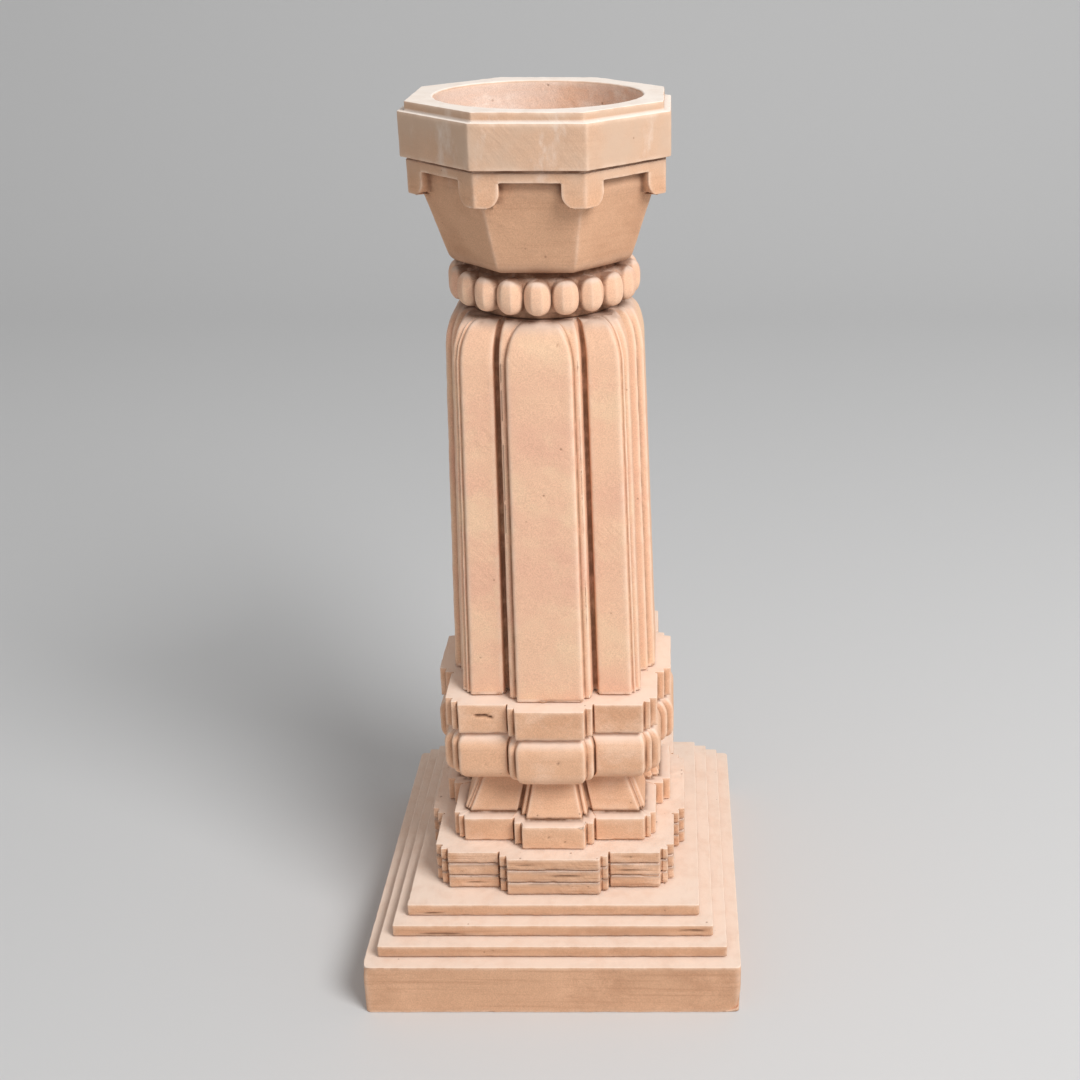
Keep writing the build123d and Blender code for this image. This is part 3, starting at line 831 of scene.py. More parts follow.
def carved_stone(
    name, face, pale, deep, lines=1.0, clouds=1.0, bedding=1.0, pits=0.08, relief=0.5, band=None,
    dust_tint=None,
):
    """Sandstone: clouds and grain, rubbed edges with a painted highlight, soil and painted shade
    in the cuts, dust and painted top light on level faces, pits.

    A band is a colour and two heights, between which the stone turns to that colour.
    """
    found = bpy.data.materials.get(name)
    if found:
        return found
    stone = bpy.context.scene.planter.stone
    material = bpy.data.materials.new(name)
    material.use_nodes = True
    tree = material.node_tree
    shader = tree.nodes["Principled BSDF"]
    place = add_node(tree, "TexCoord").outputs["Object"]
    marks = add_node(tree, "Attribute", attribute_name="marks")
    apart = add_node(tree, "SeparateXYZ")
    tree.links.new(marks.outputs["Vector"], apart.inputs[0])
    worn_and_highlight, soil_and_shade, dust = apart.outputs

    body = group_node(
        tree, "Sandstone clouds", clouds_group, place, Face=opaque(face), Pale=opaque(pale),
        Deep=opaque(deep), Clouds=clouds, Bedding=bedding,
    )
    tint = body["Color"]
    patchy = texture(tree, place, 60.0, detail=4.0, roughness=0.6)
    if band:
        shade, start, full = band
        level = add_node(tree, "SeparateXYZ")
        tree.links.new(place, level.inputs[0])
        height = maths(tree, "MULTIPLY_ADD", patchy, 0.03, level.outputs[2])
        share = ranged(tree, height, start + 0.015, full + 0.015)
        uneven = ranged(tree, texture(tree, place, 16.0, detail=5.0), 0.35, 0.65, 0.95, 0.5)
        tint = mix_colour(tree, maths(tree, "MULTIPLY", share, uneven), tint, opaque(shade))
        streaks = texture(tree, place, 24.0, (1, 1, 0.45), detail=5.0, roughness=0.65)
        bleached = maths(tree, "MULTIPLY", share, ranged(tree, streaks, 0.52, 0.72, 0.0, 0.55))
        tint = mix_colour(tree, bleached, tint, opaque(stone.rim))
    # Outer edges turn pale: rubbed stone, and a painted highlight
    edge = maths(tree, "MULTIPLY", worn_and_highlight, ranged(tree, patchy, 0.35, 0.6, 0.35, 1.0))
    tint = mix_colour(tree, edge, tint, opaque(stone.rubbed))
    # Level faces turn pale: dust, and painted top light
    level = maths(tree, "MULTIPLY", dust, ranged(tree, patchy, 0.25, 0.6, 0.8, 1.0))
    tint = mix_colour(tree, level, tint, opaque(dust_tint or stone.dust))
    # Soil and painted shade, darker where the mark is strong
    cut = maths(tree, "MULTIPLY", soil_and_shade, ranged(tree, patchy, 0.3, 0.6, 0.5, 1.1), clamp=True)
    tint = mix_colour(tree, cut, tint, opaque(stone.soil_and_shade))
    small = group_node(tree, "Pits", pits_group, place, Scale=110.0, Amount=pits)["Mask"]
    tint = mix_colour(tree, maths(tree, "MULTIPLY", small, 0.8), tint, opaque(stone.soil_and_shade))
    tree.links.new(tint, shader.inputs["Base Color"])

    height = group_node(tree, "Dressing lines", tooling_group, place, Lines=lines)["Height"]
    height = maths(tree, "SUBTRACT", height, small)
    height = maths(tree, "MULTIPLY_ADD", body["Sand"], 0.3, height)
    bump = add_node(tree, "Bump", Strength=relief, Distance=0.7 * MM)
    tree.links.new(height, bump.inputs["Height"])
    tree.links.new(bump.outputs[0], shader.inputs["Normal"])
    tree.links.new(ranged(tree, patchy, 0.3, 0.7, 0.82, 0.96), shader.inputs["Roughness"])
    shader.inputs["Specular IOR Level"].default_value = 0.25
    return material


# For each finish: its face, pale and deep colours, and what it changes of a plain carved stone
FINISHES = {
    # The dressed outside of the lotus, torus and collar courses
    "dressed_sandstone": (("face", "pale", "deep"), {"bedding": 0.5}),
    # The plinth and the steps: a browner bed of the stone, its layers standing out
    "layered_sandstone": (("bed", "face", "seam"), {"bedding": 1.1, "pits": 0.12}),
    # The foot courses, split along their layers and left rough
    "foot_sandstone": (
        ("bed", "pale", "seam"), {"lines": 3.0, "bedding": 1.9, "pits": 0.25, "relief": 1.0},
    ),
    # The paler block of the shaft and the beads, clouded and nearly without bedding
    "shaft_sandstone": (
        ("shaft", "straw", "rose"), {"lines": 0.7, "clouds": 1.2, "bedding": 0.15, "relief": 0.6},
    ),
    # The bowl's outside, to which bowl_material adds its greyer band
    "bowl_sandstone": (("bed", "face", "seam"), {"bedding": 0.7}),
    # The rougher, darker inside of the bowl
    "hollow_sandstone": (
        ("hollow", "rim", "face"), {"lines": 0.3, "bedding": 0.3, "pits": 0.25, "relief": 0.9},
    ),
    # Lime mortar with powdered stone in it
    "joint_mortar": (
        ("mortar", "face", "deep"),
        {"lines": 0.0, "clouds": 1.4, "bedding": 0.0, "pits": 0.3, "relief": 0.9},
    ),
}


def finish(name, **extra):
    """The material of a listed finish."""
    stone = bpy.context.scene.planter.stone
    tints, changes = FINISHES[name]
    return carved_stone(name, *(getattr(stone, tint) for tint in tints), **changes, **extra)


def bowl_material():
    """The bowl's outside, which turns greyer from the apron up."""
    settings = bpy.context.scene.planter
    stone, bowl = settings.stone, settings.bowl
    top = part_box("bowl")[1].z
    start = top - bowl.cap - bowl.band - bowl.apron - bowl.lobe_drop
    full = top - bowl.cap - 0.7 * bowl.band
    # The bowl's level faces take the rim colour: dust, and painted top light
    return finish("bowl_sandstone", dust_tint=stone.rim, band=(stone.grey, start, full))


def steel_material():
    """Drawn bar: fine lines along its length and an uneven gloss."""
    stone = bpy.context.scene.planter.stone
    material = bpy.data.materials.new("drawn_steel")
    material.use_nodes = True
    tree = material.node_tree
    shader = tree.nodes["Principled BSDF"]
    place = add_node(tree, "TexCoord").outputs["Object"]
    lines = texture(tree, place, 1.0, (900, 900, 12), detail=3.0)
    patchy = texture(tree, place, 60.0, detail=4.0)
    dulled = ranged(tree, patchy, 0.45, 0.7)
    tint = mix_colour(tree, dulled, opaque(stone.steel), opaque(DULLED_STEEL))
    tree.links.new(tint, shader.inputs["Base Color"])
    tree.links.new(ranged(tree, patchy, 0.35, 0.7, 0.28, 0.55), shader.inputs["Roughness"])
    shader.inputs["Metallic"].default_value = 1.0
    bump = add_node(tree, "Bump", Strength=0.3, Distance=0.1 * MM)
    tree.links.new(lines, bump.inputs["Height"])
    tree.links.new(bump.outputs[0], shader.inputs["Normal"])
    return material


# ---------------------------------------------------------------------------------------------
# Operators, from the ground up
# ---------------------------------------------------------------------------------------------


class PLANTER_OT_slabs(Operator):
    """Cut the plinth and the three step slabs"""

    bl_idname = "planter.slabs"
    bl_label = "Plinth and steps"

    def execute(self, context):
        carving = context.scene.planter.carving
        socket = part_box("plinth_slab")[1].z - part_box("core_rod")[0].z
        wall = self.slab(carving, "plinth_slab", 6 * MM)
        shell = Shell()
        rubbed = ((197, -197, 4, 9, 9, 14, 5), (-198, -198, 58, 6, 6, 8, 2.5))
        foot, head = shell.wall(*weathered(wall, 11, 0.6, rubbed=rubbed))
        shell.end(foot, False)
        shell.end(head, True, socket)
        shell.piece("plinth_stone", ["plinth_slab"], [finish("layered_sandstone")])
        splits = {
            "lower": ((-60, -185.5, 68, 45, 6, 1.1, 1.4), (185.5, 40, 70, 6, 40, 1.1, 1.8)),
            "middle": ((148, -171, 84, 16, 6, 1.2, 2.4), (-118, -171, 80.5, 34, 6, 1.1, 2)),
            "upper": ((-128, -156.5, 95, 14, 6, 1.1, 2), (156.5, 90, 100, 6, 30, 1.1, 1.8)),
        }
        for seed, (name, places) in enumerate(splits.items(), 12):
            node = f"{name}_step_slab"
            wall = self.slab(carving, node, 2.5 * MM)
            material = finish("layered_sandstone")
            bored_piece(f"{name}_step_stone", node, wall, seed, material, 0.9, places, joints=(0.8, 0))
        return {"FINISHED"}

    def slab(self, carving, node, corner):
        """Loops up a square slab with rounded upright corners."""
        low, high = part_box(node)
        pitch = 0.6 * carving.pitch
        inset, heights = course_rows(low.z, high.z, 1.2 * carving.arris, pitch)
        return trace(square_corners(high.x - inset, heights), corner, pitch, steps=6)


class PLANTER_OT_foot(Operator):
    """Cut the three thin foot courses"""

    bl_idname = "planter.foot"
    bl_label = "Foot courses"

    def execute(self, context):
        plan = context.scene.planter.foot
        splits = {
            "lower": ((-84, -129.4, 114, 16, 6, 0.9, 1.8), (129.4, 82, 116, 6, 20, 0.9, 1.6)),
            "middle": ((14, -141.7, 132, 22, 6, 0.9, 2), (84, -129.4, 130, 20, 6, 1, 1.8)),
            "upper": ((80, -129.4, 147, 15, 6, 0.9, 1.7), (-30, -141.7, 146, 14, 6, 0.9, 1.5)),
        }
        for seed, (name, places) in enumerate(splits.items(), 21):
            joints = (1.1, 0.0 if name == "upper" else 1.1)
            stepped_course(
                f"{name}_foot_stone", f"{name}_foot_course", plan, seed, finish("foot_sandstone"), 1.7,
                places, joints, foot=1.1,
            )
        return {"FINISHED"}


class PLANTER_OT_lotus(Operator):
    """Carve the lotus course: an upright band, then leaning petals"""

    bl_idname = "planter.lotus"
    bl_label = "Lotus course"

    def execute(self, context):
        settings = context.scene.planter
        carving = settings.carving
        low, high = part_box("lotus_course")
        ledge = low.z + LOTUS_BAND_HEIGHT
        pitch = 0.7 * carving.pitch
        inset, heights = course_rows(low.z, ledge, carving.arris, pitch)
        band = plan_sizes(settings.lotus_band, carving)[None] + inset[:, None] * INSET
        root = plan_sizes(settings.lotus_root, carving)
        tip = plan_sizes(settings.lotus_tip, carving)
        deep = root + carving.undercut * REACH_BACK
        tread = band[-1] + np.array([0.25, 0.6, 0.9])[:, None] * (deep - band[-1])
        cut_z = ledge + carving.undercut * np.array([0, 0.45, 0.8, 0.97])
        lean = np.linspace(0, 1, 16)
        start = ledge + 1.05 * carving.undercut
        petals = root + lean[:, None] * (tip - root)
        petals[:1] += 0.4 * carving.arris * REACH_BACK
        rows = np.concatenate([band, tread, [deep] * 4, petals])
        heights = np.concatenate([heights, np.full(3, ledge), cut_z, start + lean * (high.z - start)])
        wall = trace(stepped_corners(rows, heights), carving.arris, pitch)
        places = ((-4.7, -125.4, 170, 1.6, 4, 1.3, 1.6), (12, -125.4, 163.5, 1.4, 4, 1.6, 1.4))
        rubbed = ((32, -127, 183, 6, 8, 6, 3), (-34, -127, 184, 3, 6, 4, 1.5))
        material = finish("dressed_sandstone")
        bored_piece("lotus_stone", "lotus_course", wall, 31, material, 1.0, places, rubbed)
        return {"FINISHED"}


class PLANTER_OT_torus(Operator):
    """Carve the torus course, every bay and wing of it a pillow"""

    bl_idname = "planter.torus"
    bl_label = "Torus course"

    def execute(self, context):
        settings = context.scene.planter
        carving = settings.carving
        low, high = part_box("torus_course")
        tall = high.z - low.z
        nose = carving.torus_nose
        turn = np.linspace(0, math.pi / 2, 12)
        lower = nose * (1 - np.cos(turn))
        middle = np.linspace(nose, tall - nose, 9)[1:-1]
        climb = np.concatenate([lower, middle, tall - lower[::-1]])

        def round_in(distance, radius):
            """How far a quarter round of a radius lies in, at a distance from where it starts."""
            return radius - np.sqrt(radius**2 - np.clip(radius - distance, 0, radius) ** 2)

        nose_in = round_in(climb, nose) + round_in(tall - climb, nose)
        ends_in = round_in(climb, carving.torus_foot) + round_in(tall - climb, carving.torus_head)
        rows = (
            plan_sizes(settings.torus, carving)
            + nose_in[:, None] * REACH_BACK * (ENDS_IN == 0)
            + ends_in[:, None] * ENDS_IN
        )
        wall = trace(stepped_corners(rows, low.z + climb), 2 * carving.arris, 0.7 * carving.pitch)
        places = ((8, -129, 266, 2.2, 5, 1.3, 1.5), (-70, -115, 255, 1.5, 5, 1.5, 1.2))
        bored_piece("torus_stone", "torus_course", wall, 41, finish("dressed_sandstone"), places=places)
        return {"FINISHED"}


class PLANTER_OT_collar(Operator):
    """Cut the collar course under the shaft"""

    bl_idname = "planter.collar"
    bl_label = "Collar course"

    def execute(self, context):
        places = ((-75, -111.5, 313.2, 4.5, 6, 1.2, 4), (-69, -111.5, 312.9, 4, 6, 1.6, 5),
                  (-63, -111.5, 311, 2.6, 6, 1.4, 4.5))
        plan = context.scene.planter.collar
        stepped_course(
            "collar_stone", "collar_course", plan, 51, finish("dressed_sandstone"), places=places,
            joints=(0.6, 0),
        )
        return {"FINISHED"}


class PLANTER_OT_shaft(Operator):
    """Carve the tapered shaft, its grooves and its arched shoulder"""

    bl_idname = "planter.shaft"
    bl_label = "Shaft"

    def execute(self, context):
        settings = context.scene.planter
        carving = settings.carving
        low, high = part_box("shaft")
        spring = high.z - carving.shoulder
        inset, straight = course_rows(low.z, spring, carving.arris, 1.5 * carving.pitch)
        inset, straight = inset[:-4], straight[:-4]
        turn = np.linspace(0, math.pi / 2, 26)[1:]
        heights = np.concatenate([straight, spring + carving.shoulder * np.sin(turn)])
        drawn_in = np.concatenate([np.zeros(len(straight)), 1 - np.cos(turn)])
        share = np.clip((heights - low.z) / (spring - low.z), 0, 1)
        factor = (1 - (1 - carving.taper) * share) * (1 - (1 - carving.shoulder_ratio) * drawn_in)
        rows = plan_sizes(settings.shaft, carving)[None] * factor[:, None]
        rows[:, 1] -= carving.bay_arch * drawn_in
        rows[:, 7:9] -= carving.wing_arch * drawn_in[:, None]
        rows[: len(inset)] += inset[:, None] * INSET
        wall = trace(stepped_corners(rows, heights), 1.8 * carving.arris, carving.pitch)
        places = (
            (18.4, -95, 710, 1.3, 6, 1.3, 1.8), (67.6, -86, 677, 1.2, 6, 1.6, 1.3),
            (29.5, -90, 720, 1.8, 6, 1.6, 2.2), (79, -73, 722, 2, 6, 3.5, 3),
            (85, -77, 715, 1.8, 6, 3.5, 3), (62, -86, 652, 2.2, 6, 1.4, 0.9),
            (20, -97, 655, 3, 6, 1.6, 0.9), (-52, -86, 668, 3.5, 6, 1.3, 0.9),
        )
        points, marks = weathered(wall, 61, 1.0, places)
        sway = 0.25 * MM * (1 + noise(points * (1, 1, 1.4), 13 * MM, 64)) * (marks[..., 0] + 0.4)
        points = toward_axis(points, sway)
        # Less soil and painted shade in the shaft's grooves
        marks[..., 1] *= 0.75
        # Painted shade on the top of the shaft, under the bead ring
        stain_and_shade(points, marks, high.z, 6 * MM, 0.8, 62)
        silt = 3 * MM + 2 * MM * noise(points, 16 * MM, 63) - (points[..., 2] - low.z)
        marks[..., 2] = np.maximum(marks[..., 2], 0.8 * smoothstep(0, 2 * MM, silt))
        shell = Shell()
        foot, head = shell.wall(points, marks)
        shell.end(foot, False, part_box("core_rod")[1].z - low.z)
        # The shaft's top face takes painted shade, under the beads
        shell.end(head, True, high.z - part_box("bowl_pin")[0].z, soil_and_shade=0.7)
        shell.piece("shaft_stone", ["shaft"], [finish("shaft_sandstone")])
        return {"FINISHED"}


class PLANTER_OT_beads(Operator):
    """Carve the neck and its ring of beads"""

    bl_idname = "planter.beads"
    bl_label = "Bead course"

    def execute(self, context):
        beads = context.scene.planter.beads
        low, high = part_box("bead_course")
        middle = low.z + beads.neck_height + beads.height / 2
        climb = -np.cos(np.linspace(0, math.pi, BEAD_ROWS))
        heights = np.concatenate([
            [low.z, low.z + 0.3 * beads.neck_height, low.z + 0.7 * beads.neck_height],
            middle + climb * beads.height / 2, [high.z],
        ])
        share = np.clip(np.abs(heights - middle) / (beads.height / 2), 0, 1)
        bead = beads.radius * (1 - share**BEAD_PLUMPNESS) ** (1 / BEAD_PLUMPNESS)
        core = beads.neck + (beads.ring - beads.neck) * (1 - share**3) ** 0.5
        count = beads.count * POINTS_PER_BEAD
        angle = 2 * math.pi * np.arange(count) / count
        share_of_ring = 2 * math.pi / beads.count
        off = (angle + share_of_ring / 2) % share_of_ring - share_of_ring / 2
        facet = 2 * math.pi / beads.facets
        size = bead[:, None] * np.ones(len(angle))
        for _ in range(3):
            inside = size**2 - (beads.ring * np.sin(off)) ** 2
            reach = beads.ring * np.cos(off) + np.sqrt(np.maximum(inside, 0))
            own = np.arctan2(reach * np.sin(off), reach * np.cos(off) - beads.ring)
            flat = math.cos(facet / 2) / np.cos((own + facet / 2) % facet - facet / 2)
            size = bead[:, None] * (0.3 + 0.7 * flat)
        reach = np.where(inside > 0, np.maximum(reach, core[:, None]), core[:, None])
        wall = raised(np.stack([reach * np.cos(angle), reach * np.sin(angle)], -1), heights)
        points, marks = weathered(wall, 71, rough=0.4)
        # Painted shade in the gaps between the beads
        between = 1 - smoothstep(beads.ring + 3 * MM, beads.ring + 8 * MM, reach)
        marks[..., 1] = np.maximum(marks[..., 1], 0.85 * between)
        # Painted shade along the top of the beads, under the bowl
        stain_and_shade(points, marks, high.z, 5 * MM, 1.1, 72)
        bored_shell("bead_stone", "bead_course", points, marks, finish("shaft_sandstone"))
        return {"FINISHED"}


class PLANTER_OT_bowl(Operator):
    """Carve the octagonal bowl: faceted body, lobed apron, band, cap and round hollow"""

    bl_idname = "planter.bowl"
    bl_label = "Bowl"

    def execute(self, context):
        settings = context.scene.planter
        carving, bowl = settings.carving, settings.bowl
        low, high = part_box("bowl")
        corners = self.corners(self.profile(carving, bowl, low.z, high))
        outside = trace(corners, carving.arris, carving.pitch)
        points, marks = weathered(outside, 81)
        marks[self.behind_lobes(bowl, outside, low.z, high.z), 0] = 0
        # Painted shade on the bowl's underside, over the beads
        stain_and_shade(points, marks, low.z, 7 * MM, 0.9, 82)
        # Less soil and painted shade near the cap
        marks[outside[..., 2] > high.z - bowl.cap - 2 * MM, 1] *= 0.3
        # Painted shadow of the apron on the sloping body under it
        shaded = marks.copy()
        stain_and_shade(points, shaded, high.z - bowl.cap - bowl.band - bowl.apron, 16 * MM, 0.4, 84)
        under = self.on_body(bowl, outside, low.z)
        marks[under] = shaded[under]
        hollow, hollow_marks = weathered(self.hollow(carving, bowl, low.z, high.z), 83, 1.4)
        hollow[0, :, 2] = points[-1, 0, 2]
        shell = Shell()
        seat, rim = shell.wall(points, marks)
        stone_or_hollow = np.arange(len(hollow) - 1) >= LIP_STEPS
        lip, floor = shell.wall(hollow, hollow_marks, np.repeat(stone_or_hollow, hollow.shape[1]))
        shell.end(seat, False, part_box("bowl_pin")[1].z - low.z)
        shell.flat(rim, lip, True)
        shell.flat(floor, None, True, slot=1)
        piece = shell.piece("bowl_stone", ["bowl"], [bowl_material(), finish("hollow_sandstone")])
        drain_z = low.z + bowl.floor_height + bowl.drain_sill + bowl.drain
        drill(piece, (0, 0.7 * bowl.floor, drain_z), (0, high.x, drain_z), bowl.drain)
        return {"FINISHED"}

    def profile(self, carving, bowl, base, high):
        """Rows up the outside: outer flat and height, window flat and height, arm, slack.

        On each side of the octagon the outer flat holds for one arm from each corner, and the
        window flat between. Slack spreads the change of flat along the side.
        """
        arris = carving.arris
        cap_base = high.z - bowl.cap
        band_base = cap_base - bowl.band
        apron_base = band_base - bowl.apron
        lobe_base = apron_base - bowl.lobe_drop
        turn = np.linspace(0, math.radians(72), 9)
        roll = bowl.seat_flat + bowl.roll * np.sin(turn)
        roll_z = base + bowl.roll * (1 - np.cos(turn))
        slope_top = base + bowl.body_height
        quarter = np.linspace(0, math.pi / 2, 5)
        soft, rise = arris * (1 - np.sin(quarter)), arris * (1 - np.cos(quarter))
        low_arm = bowl.lobe_arm - bowl.lobe_round
        slack = 1.5 * MM

        def body(z):
            """Flat of the sloping body at a height."""
            return np.interp(z, [roll_z[-1], slope_top], [roll[-1], bowl.body_flat])

        def rows(outer, outer_z, window=None, window_z=None, arm=bowl.lobe_arm, spread=slack):
            """Rows of the stack; a window left out is flush with the outer face."""
            window = outer if window is None else window
            window_z = outer_z if window_z is None else window_z
            return np.stack(np.broadcast_arrays(outer, outer_z, window, window_z, arm, spread), -1)

        slope_z = np.linspace(roll_z[-1], lobe_base, 16)[1:]
        under_z = lobe_base + np.array([0.5, 0.9, 1.2]) * MM
        overhang = bowl.apron_flat - arris - body(lobe_base)
        under = body(lobe_base) + np.array([0.35, 0.75, 1.0]) * overhang
        lobe_z = np.concatenate([
            lobe_base + bowl.lobe_round * (1 - np.cos(np.linspace(0.5, math.pi / 2, 9))),
            np.linspace(lobe_base + bowl.lobe_round, apron_base, 5)[1:-1],
        ])
        lifted = np.concatenate([lobe_base + rise, lobe_z])
        lobe_flat = np.concatenate([bowl.apron_flat - soft, np.full(len(lobe_z), bowl.apron_flat)])
        window_z = np.maximum(lifted, lobe_base + 1.5 * MM + 0.4 * (lifted - lobe_base))
        short = np.clip(bowl.lobe_round - (lifted - lobe_base), 0, bowl.lobe_round)
        arms = low_arm + np.sqrt(bowl.lobe_round**2 - short**2)
        share = np.array([0.3, 0.7])
        lintel = share * (bowl.apron_flat - arris) + share[::-1] * body(apron_base)
        recess = 1.2 * MM
        strip_z = np.linspace(apron_base + arris, band_base - 2 * recess, 5)[1:]
        band_z = np.linspace(band_base + arris, cap_base - arris, 14)[1:-1]
        cap_z = np.linspace(cap_base, high.z - arris, 5)[:-1]
        parts = [
            rows(roll, roll_z, arm=low_arm),
            rows(body(slope_z), slope_z, arm=low_arm),
            rows(under, lobe_base, body(under_z), under_z, low_arm, 0),
            rows(lobe_flat, lifted, body(window_z), window_z, arms, 0),
            rows(bowl.apron_flat, apron_base - 0.6 * arris, body(apron_base), apron_base, spread=0),
            rows(bowl.apron_flat, apron_base + np.array([0, 0.2]) * arris, lintel, apron_base,
                 spread=0),
            rows(bowl.apron_flat, apron_base + 0.3 * arris + 0.7 * rise, bowl.apron_flat - soft,
                 apron_base + rise, spread=0.5 * slack),
            rows(bowl.apron_flat, strip_z),
            rows(bowl.apron_flat - recess, band_base - recess * np.array([1.6, 0.8, 0])),
            rows(high.x - soft, band_base + rise),
            rows(high.x, band_z),
            rows(high.x - soft[::-1], cap_base - rise[::-1]),
            rows(bowl.cap_flat, cap_z),
            rows(bowl.cap_flat - soft[::-1], high.z - rise[::-1]),
        ]
        return np.concatenate([part.reshape(-1, 6) for part in parts])

    def on_body(self, bowl, points, base):
        """Which points of the outside lie on the sloping body."""
        angle = np.arctan2(points[..., 1], points[..., 0]) + math.pi / 8
        across = np.cos(angle % (math.pi / 4) - math.pi / 8)
        flat = np.linalg.norm(points[..., :2], axis=-1) * across
        slope = np.interp(
            points[..., 2], [base + bowl.roll, base + bowl.body_height],
            [bowl.seat_flat + bowl.roll, bowl.body_flat],
        )
        return (flat < slope + 1.5 * MM) & (points[..., 2] < base + bowl.body_height + 2 * MM)

    def behind_lobes(self, bowl, points, base, top):
        """Which points of the sloping body lie at the height of the lobes."""
        apron_base = top - bowl.cap - bowl.band - bowl.apron
        height = points[..., 2]
        level = (height > apron_base - bowl.lobe_drop - 2 * MM) & (height < apron_base - 2 * MM)
        return level & self.on_body(bowl, points, base)

    def corners(self, rows):
        """Corners of the octagon and of the arms on its sides, (level, corner, xyz)."""
        outer, outer_z, window, window_z, arm, slack = rows.T
        half = outer * math.tan(math.radians(22.5))
        side = (
            (outer, -half, outer_z), (outer, arm - half - slack, outer_z),
            (window, arm - half + slack, window_z), (window, half - arm - slack, window_z),
            (outer, half - arm + slack, outer_z),
        )
        result = []
        for k in range(8):
            c, s = math.cos(math.radians(45 * k)), math.sin(math.radians(45 * k))
            for out, along, z in side:
                result.append(np.stack([out * c - along * s, out * s + along * c, z], -1))
        return np.stack(result, 1)

    def hollow(self, carving, bowl, base, top):
        """Circles down the hollow: a round lip, an upright wall, a sloping one and a floor.

        The corner between wall and floor is rounded by sinking every radius below
        floor + round by a share of round - sqrt(round^2 - (round - height)^2).
        """
        quarter = np.linspace(0, math.pi / 2, LIP_STEPS + 1)
        lip = 2 * carving.arris
        floor_z = base + bowl.floor_height
        break_z = base + bowl.body_height
        wall_z = np.concatenate([
            np.linspace(top - lip, break_z, 26)[1:], np.linspace(break_z, floor_z, 22)[1:],
        ])
        wall = np.interp(wall_z, [floor_z, break_z], [bowl.floor, bowl.mouth])
        near = np.clip(bowl.floor_round - (wall_z - floor_z), 0, bowl.floor_round)
        wall = wall - 0.6 * (bowl.floor_round - np.sqrt(bowl.floor_round**2 - near**2))
        floor = wall[-1] * np.linspace(0.95, 0.1, FLOOR_RINGS)
        radii = np.concatenate([bowl.mouth + lip * (1 - np.sin(quarter)), wall, floor])
        lip_z = top - lip * (1 - np.cos(quarter))
        heights = np.concatenate([lip_z, wall_z, np.full(FLOOR_RINGS, floor_z)])
        return np.stack([circles(r, [z], HOLLOW_SIDES)[0] for r, z in zip(radii, heights)])


class PLANTER_OT_joints(Operator):
    """Fill the joints with mortar, flush in places and washed out in others"""

    bl_idname = "planter.joints"
    bl_label = "Mortar joints"

    def execute(self, context):
        settings = context.scene.planter
        carving = settings.carving
        beds = (
            ("lower_step", "lower_step_slab"), ("middle_step", "middle_step_slab"),
            ("upper_step", "upper_step_slab"), ("lower_foot", settings.foot),
            ("middle_foot", settings.foot), ("upper_foot", settings.foot),
            ("lotus", settings.lotus_band), ("torus", settings.lotus_tip),
            ("collar", None), ("shaft", settings.shaft), ("bead_course", None), ("bowl", None),
        )
        for seed, (name, edge) in enumerate(beds, 91):
            low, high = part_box(f"{name}_bed")
            heights = np.linspace(low.z, high.z, BED_LEVELS)
            if isinstance(edge, str):
                half = np.full(BED_LEVELS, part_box(edge)[1].x - 1.5 * carving.arris)
                wall = trace(square_corners(half, heights), 3 * MM, carving.pitch, steps=4)
            elif edge:
                row = plan_sizes(edge, carving) + 0.7 * carving.arris * INSET
                corners = stepped_corners(row[None].repeat(BED_LEVELS, 0), heights)
                wall = trace(corners, carving.arris, carving.pitch)
            else:
                half = np.full(BED_LEVELS, high.x)
                wall = trace(square_corners(half, heights), 3 * MM, carving.pitch)
                if name != "collar":
                    wall = np.stack([circle_like(loop, high.x, z) for loop, z in zip(wall, heights)])
            level = wall * (1, 1, 0)
            washed = noise(level, 26 * MM, seed) + 0.5 * noise(level, 9 * MM, seed + 20)
            share = smoothstep(-0.95, -0.1, washed)
            wall = toward_axis(wall, 5 * MM * share)
            marks = np.zeros(wall.shape)
            marks[..., 1] = 0.4 + 0.6 * share
            bored_shell(f"{name}_mortar", f"{name}_bed", wall, marks, finish("joint_mortar"), "mortar")
        return {"FINISHED"}


class PLANTER_OT_bars(Operator):
    """Finish the steel bars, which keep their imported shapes"""

    bl_idname = "planter.bars"
    bl_label = "Steel bars"

    def execute(self, context):
        steel = steel_material()
        for name in ("core_rod", "bowl_pin"):
            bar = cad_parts[name]
            bar.data.materials.clear()
            bar.data.materials.append(steel)
        return {"FINISHED"}


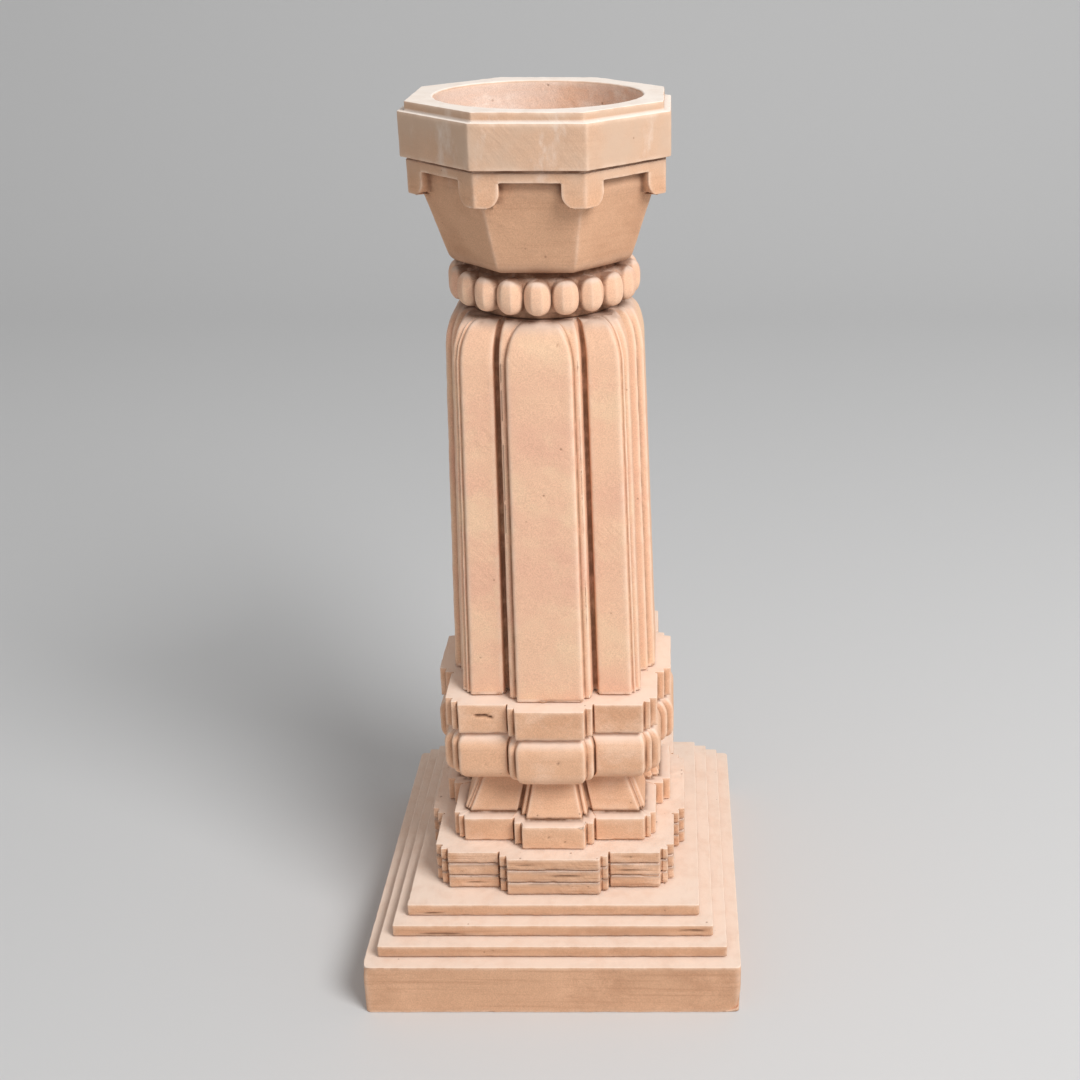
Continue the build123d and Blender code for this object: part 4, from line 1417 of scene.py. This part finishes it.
class PLANTER_OT_studio(Operator):
    """Set up the floor, the backdrop, the lights and the camera"""

    bl_idname = "planter.studio"
    bl_label = "Studio"

    def execute(self, context):
        studio = context.scene.planter.studio
        scene = context.scene
        self.floor(scene, studio)
        self.lights(scene)
        camera = bpy.data.objects.new("camera", bpy.data.cameras.new("camera"))
        scene.collection.objects.link(camera)
        camera.location = (studio.camera_x, studio.camera_y, studio.camera_z)
        camera.rotation_euler = (math.pi / 2 - studio.pitch, 0.0, 0.0)
        camera.data.sensor_width = 36.0
        camera.data.lens = studio.lens
        camera.data.shift_x = studio.shift_x
        camera.data.shift_y = studio.shift_y
        camera.data.clip_end = 50.0
        scene.camera = camera
        scene.view_settings.view_transform = "Standard"
        return {"FINISHED"}

    def floor(self, scene, studio):
        """Floor and backdrop in one sweep: level, then a quarter circle, then upright."""
        turn = np.linspace(0, math.pi / 2, 24)
        curve = SWEEP_START + SWEEP_RADIUS * np.sin(turn)
        y = np.concatenate([[SWEEP_FRONT], curve, [SWEEP_START + SWEEP_RADIUS]])
        z = np.concatenate([[0.0], SWEEP_RADIUS * (1 - np.cos(turn)), [SWEEP_TOP]])
        x = np.array([-SWEEP_HALF_WIDTH, SWEEP_HALF_WIDTH])
        grid = np.stack(np.broadcast_arrays(x[None], y[:, None], z[:, None]), -1).reshape(-1, 3)
        i = np.arange(len(y) - 1) * 2
        faces = np.stack([i, i + 1, i + 3, i + 2], -1)
        mesh = bpy.data.meshes.new("studio_floor")
        mesh.from_pydata(grid.tolist(), [], faces.tolist())
        mesh.polygons.foreach_set("use_smooth", np.ones(len(faces), bool))
        material = bpy.data.materials.new("studio_floor")
        material.use_nodes = True
        shader = material.node_tree.nodes["Principled BSDF"]
        shader.inputs["Base Color"].default_value = opaque(studio.floor)
        shader.inputs["Roughness"].default_value = 0.9
        mesh.materials.append(material)
        sweep = bpy.data.objects.new("studio_floor", mesh)
        scene.collection.objects.link(sweep)

    def lights(self, scene):
        """A broad key from the right, high and to the front, and an even sky."""
        data = bpy.data.lights.new("key", "AREA")
        data.shape = "DISK"
        data.size = KEY_SIZE
        data.energy = KEY_POWER
        lamp = bpy.data.objects.new("key", data)
        place = np.array(KEY_PLACE)
        aim = np.array(KEY_AIM) - place
        lamp.location = place
        lamp.rotation_euler = (math.atan2(math.hypot(aim[0], aim[1]), -aim[2]), 0.0,
                               math.atan2(-aim[0], aim[1]))
        scene.collection.objects.link(lamp)
        world = bpy.data.worlds.new("studio_sky")
        world.use_nodes = True
        sky = world.node_tree.nodes["Background"]
        sky.inputs["Color"].default_value = (1, 1, 1, 1)
        sky.inputs["Strength"].default_value = SKY_STRENGTH
        scene.world = world


class PLANTER_PT_panel(Panel):
    """Lists the parts of the planter in the order in which they are laid"""

    bl_label = "Tulsi pedestal"
    bl_idname = "PLANTER_PT_panel"
    bl_space_type = "VIEW_3D"
    bl_region_type = "UI"
    bl_category = "Planter"

    def draw(self, context):
        for operator in OPERATORS:
            self.layout.operator(operator.bl_idname)


GROUPS = (
    FootPlan, LotusBandPlan, LotusRootPlan, LotusTipPlan, TorusPlan, CollarPlan, ShaftPlan,
    PLANTER_PG_carving, PLANTER_PG_beads, PLANTER_PG_bowl, PLANTER_PG_stone, PLANTER_PG_studio,
    PLANTER_PG_settings,
)
OPERATORS = (
    PLANTER_OT_slabs, PLANTER_OT_foot, PLANTER_OT_lotus, PLANTER_OT_torus, PLANTER_OT_collar,
    PLANTER_OT_shaft, PLANTER_OT_beads, PLANTER_OT_bowl, PLANTER_OT_joints, PLANTER_OT_bars,
    PLANTER_OT_studio,
)
CLASSES = GROUPS + OPERATORS + (PLANTER_PT_panel,)


def register():
    for item in CLASSES:
        bpy.utils.register_class(item)
    bpy.types.Scene.planter = PointerProperty(type=PLANTER_PG_settings)


def unregister():
    del bpy.types.Scene.planter
    for item in reversed(CLASSES):
        bpy.utils.unregister_class(item)


def main():
    """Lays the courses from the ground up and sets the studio."""
    register()
    bpy.ops.planter.slabs()
    bpy.ops.planter.foot()
    bpy.ops.planter.lotus()
    bpy.ops.planter.torus()
    bpy.ops.planter.collar()
    bpy.ops.planter.shaft()
    bpy.ops.planter.beads()
    bpy.ops.planter.bowl()
    bpy.ops.planter.joints()
    bpy.ops.planter.bars()
    bpy.ops.planter.studio()
    bpy.context.view_layer.update()


if __name__ == "__main__":
    main()
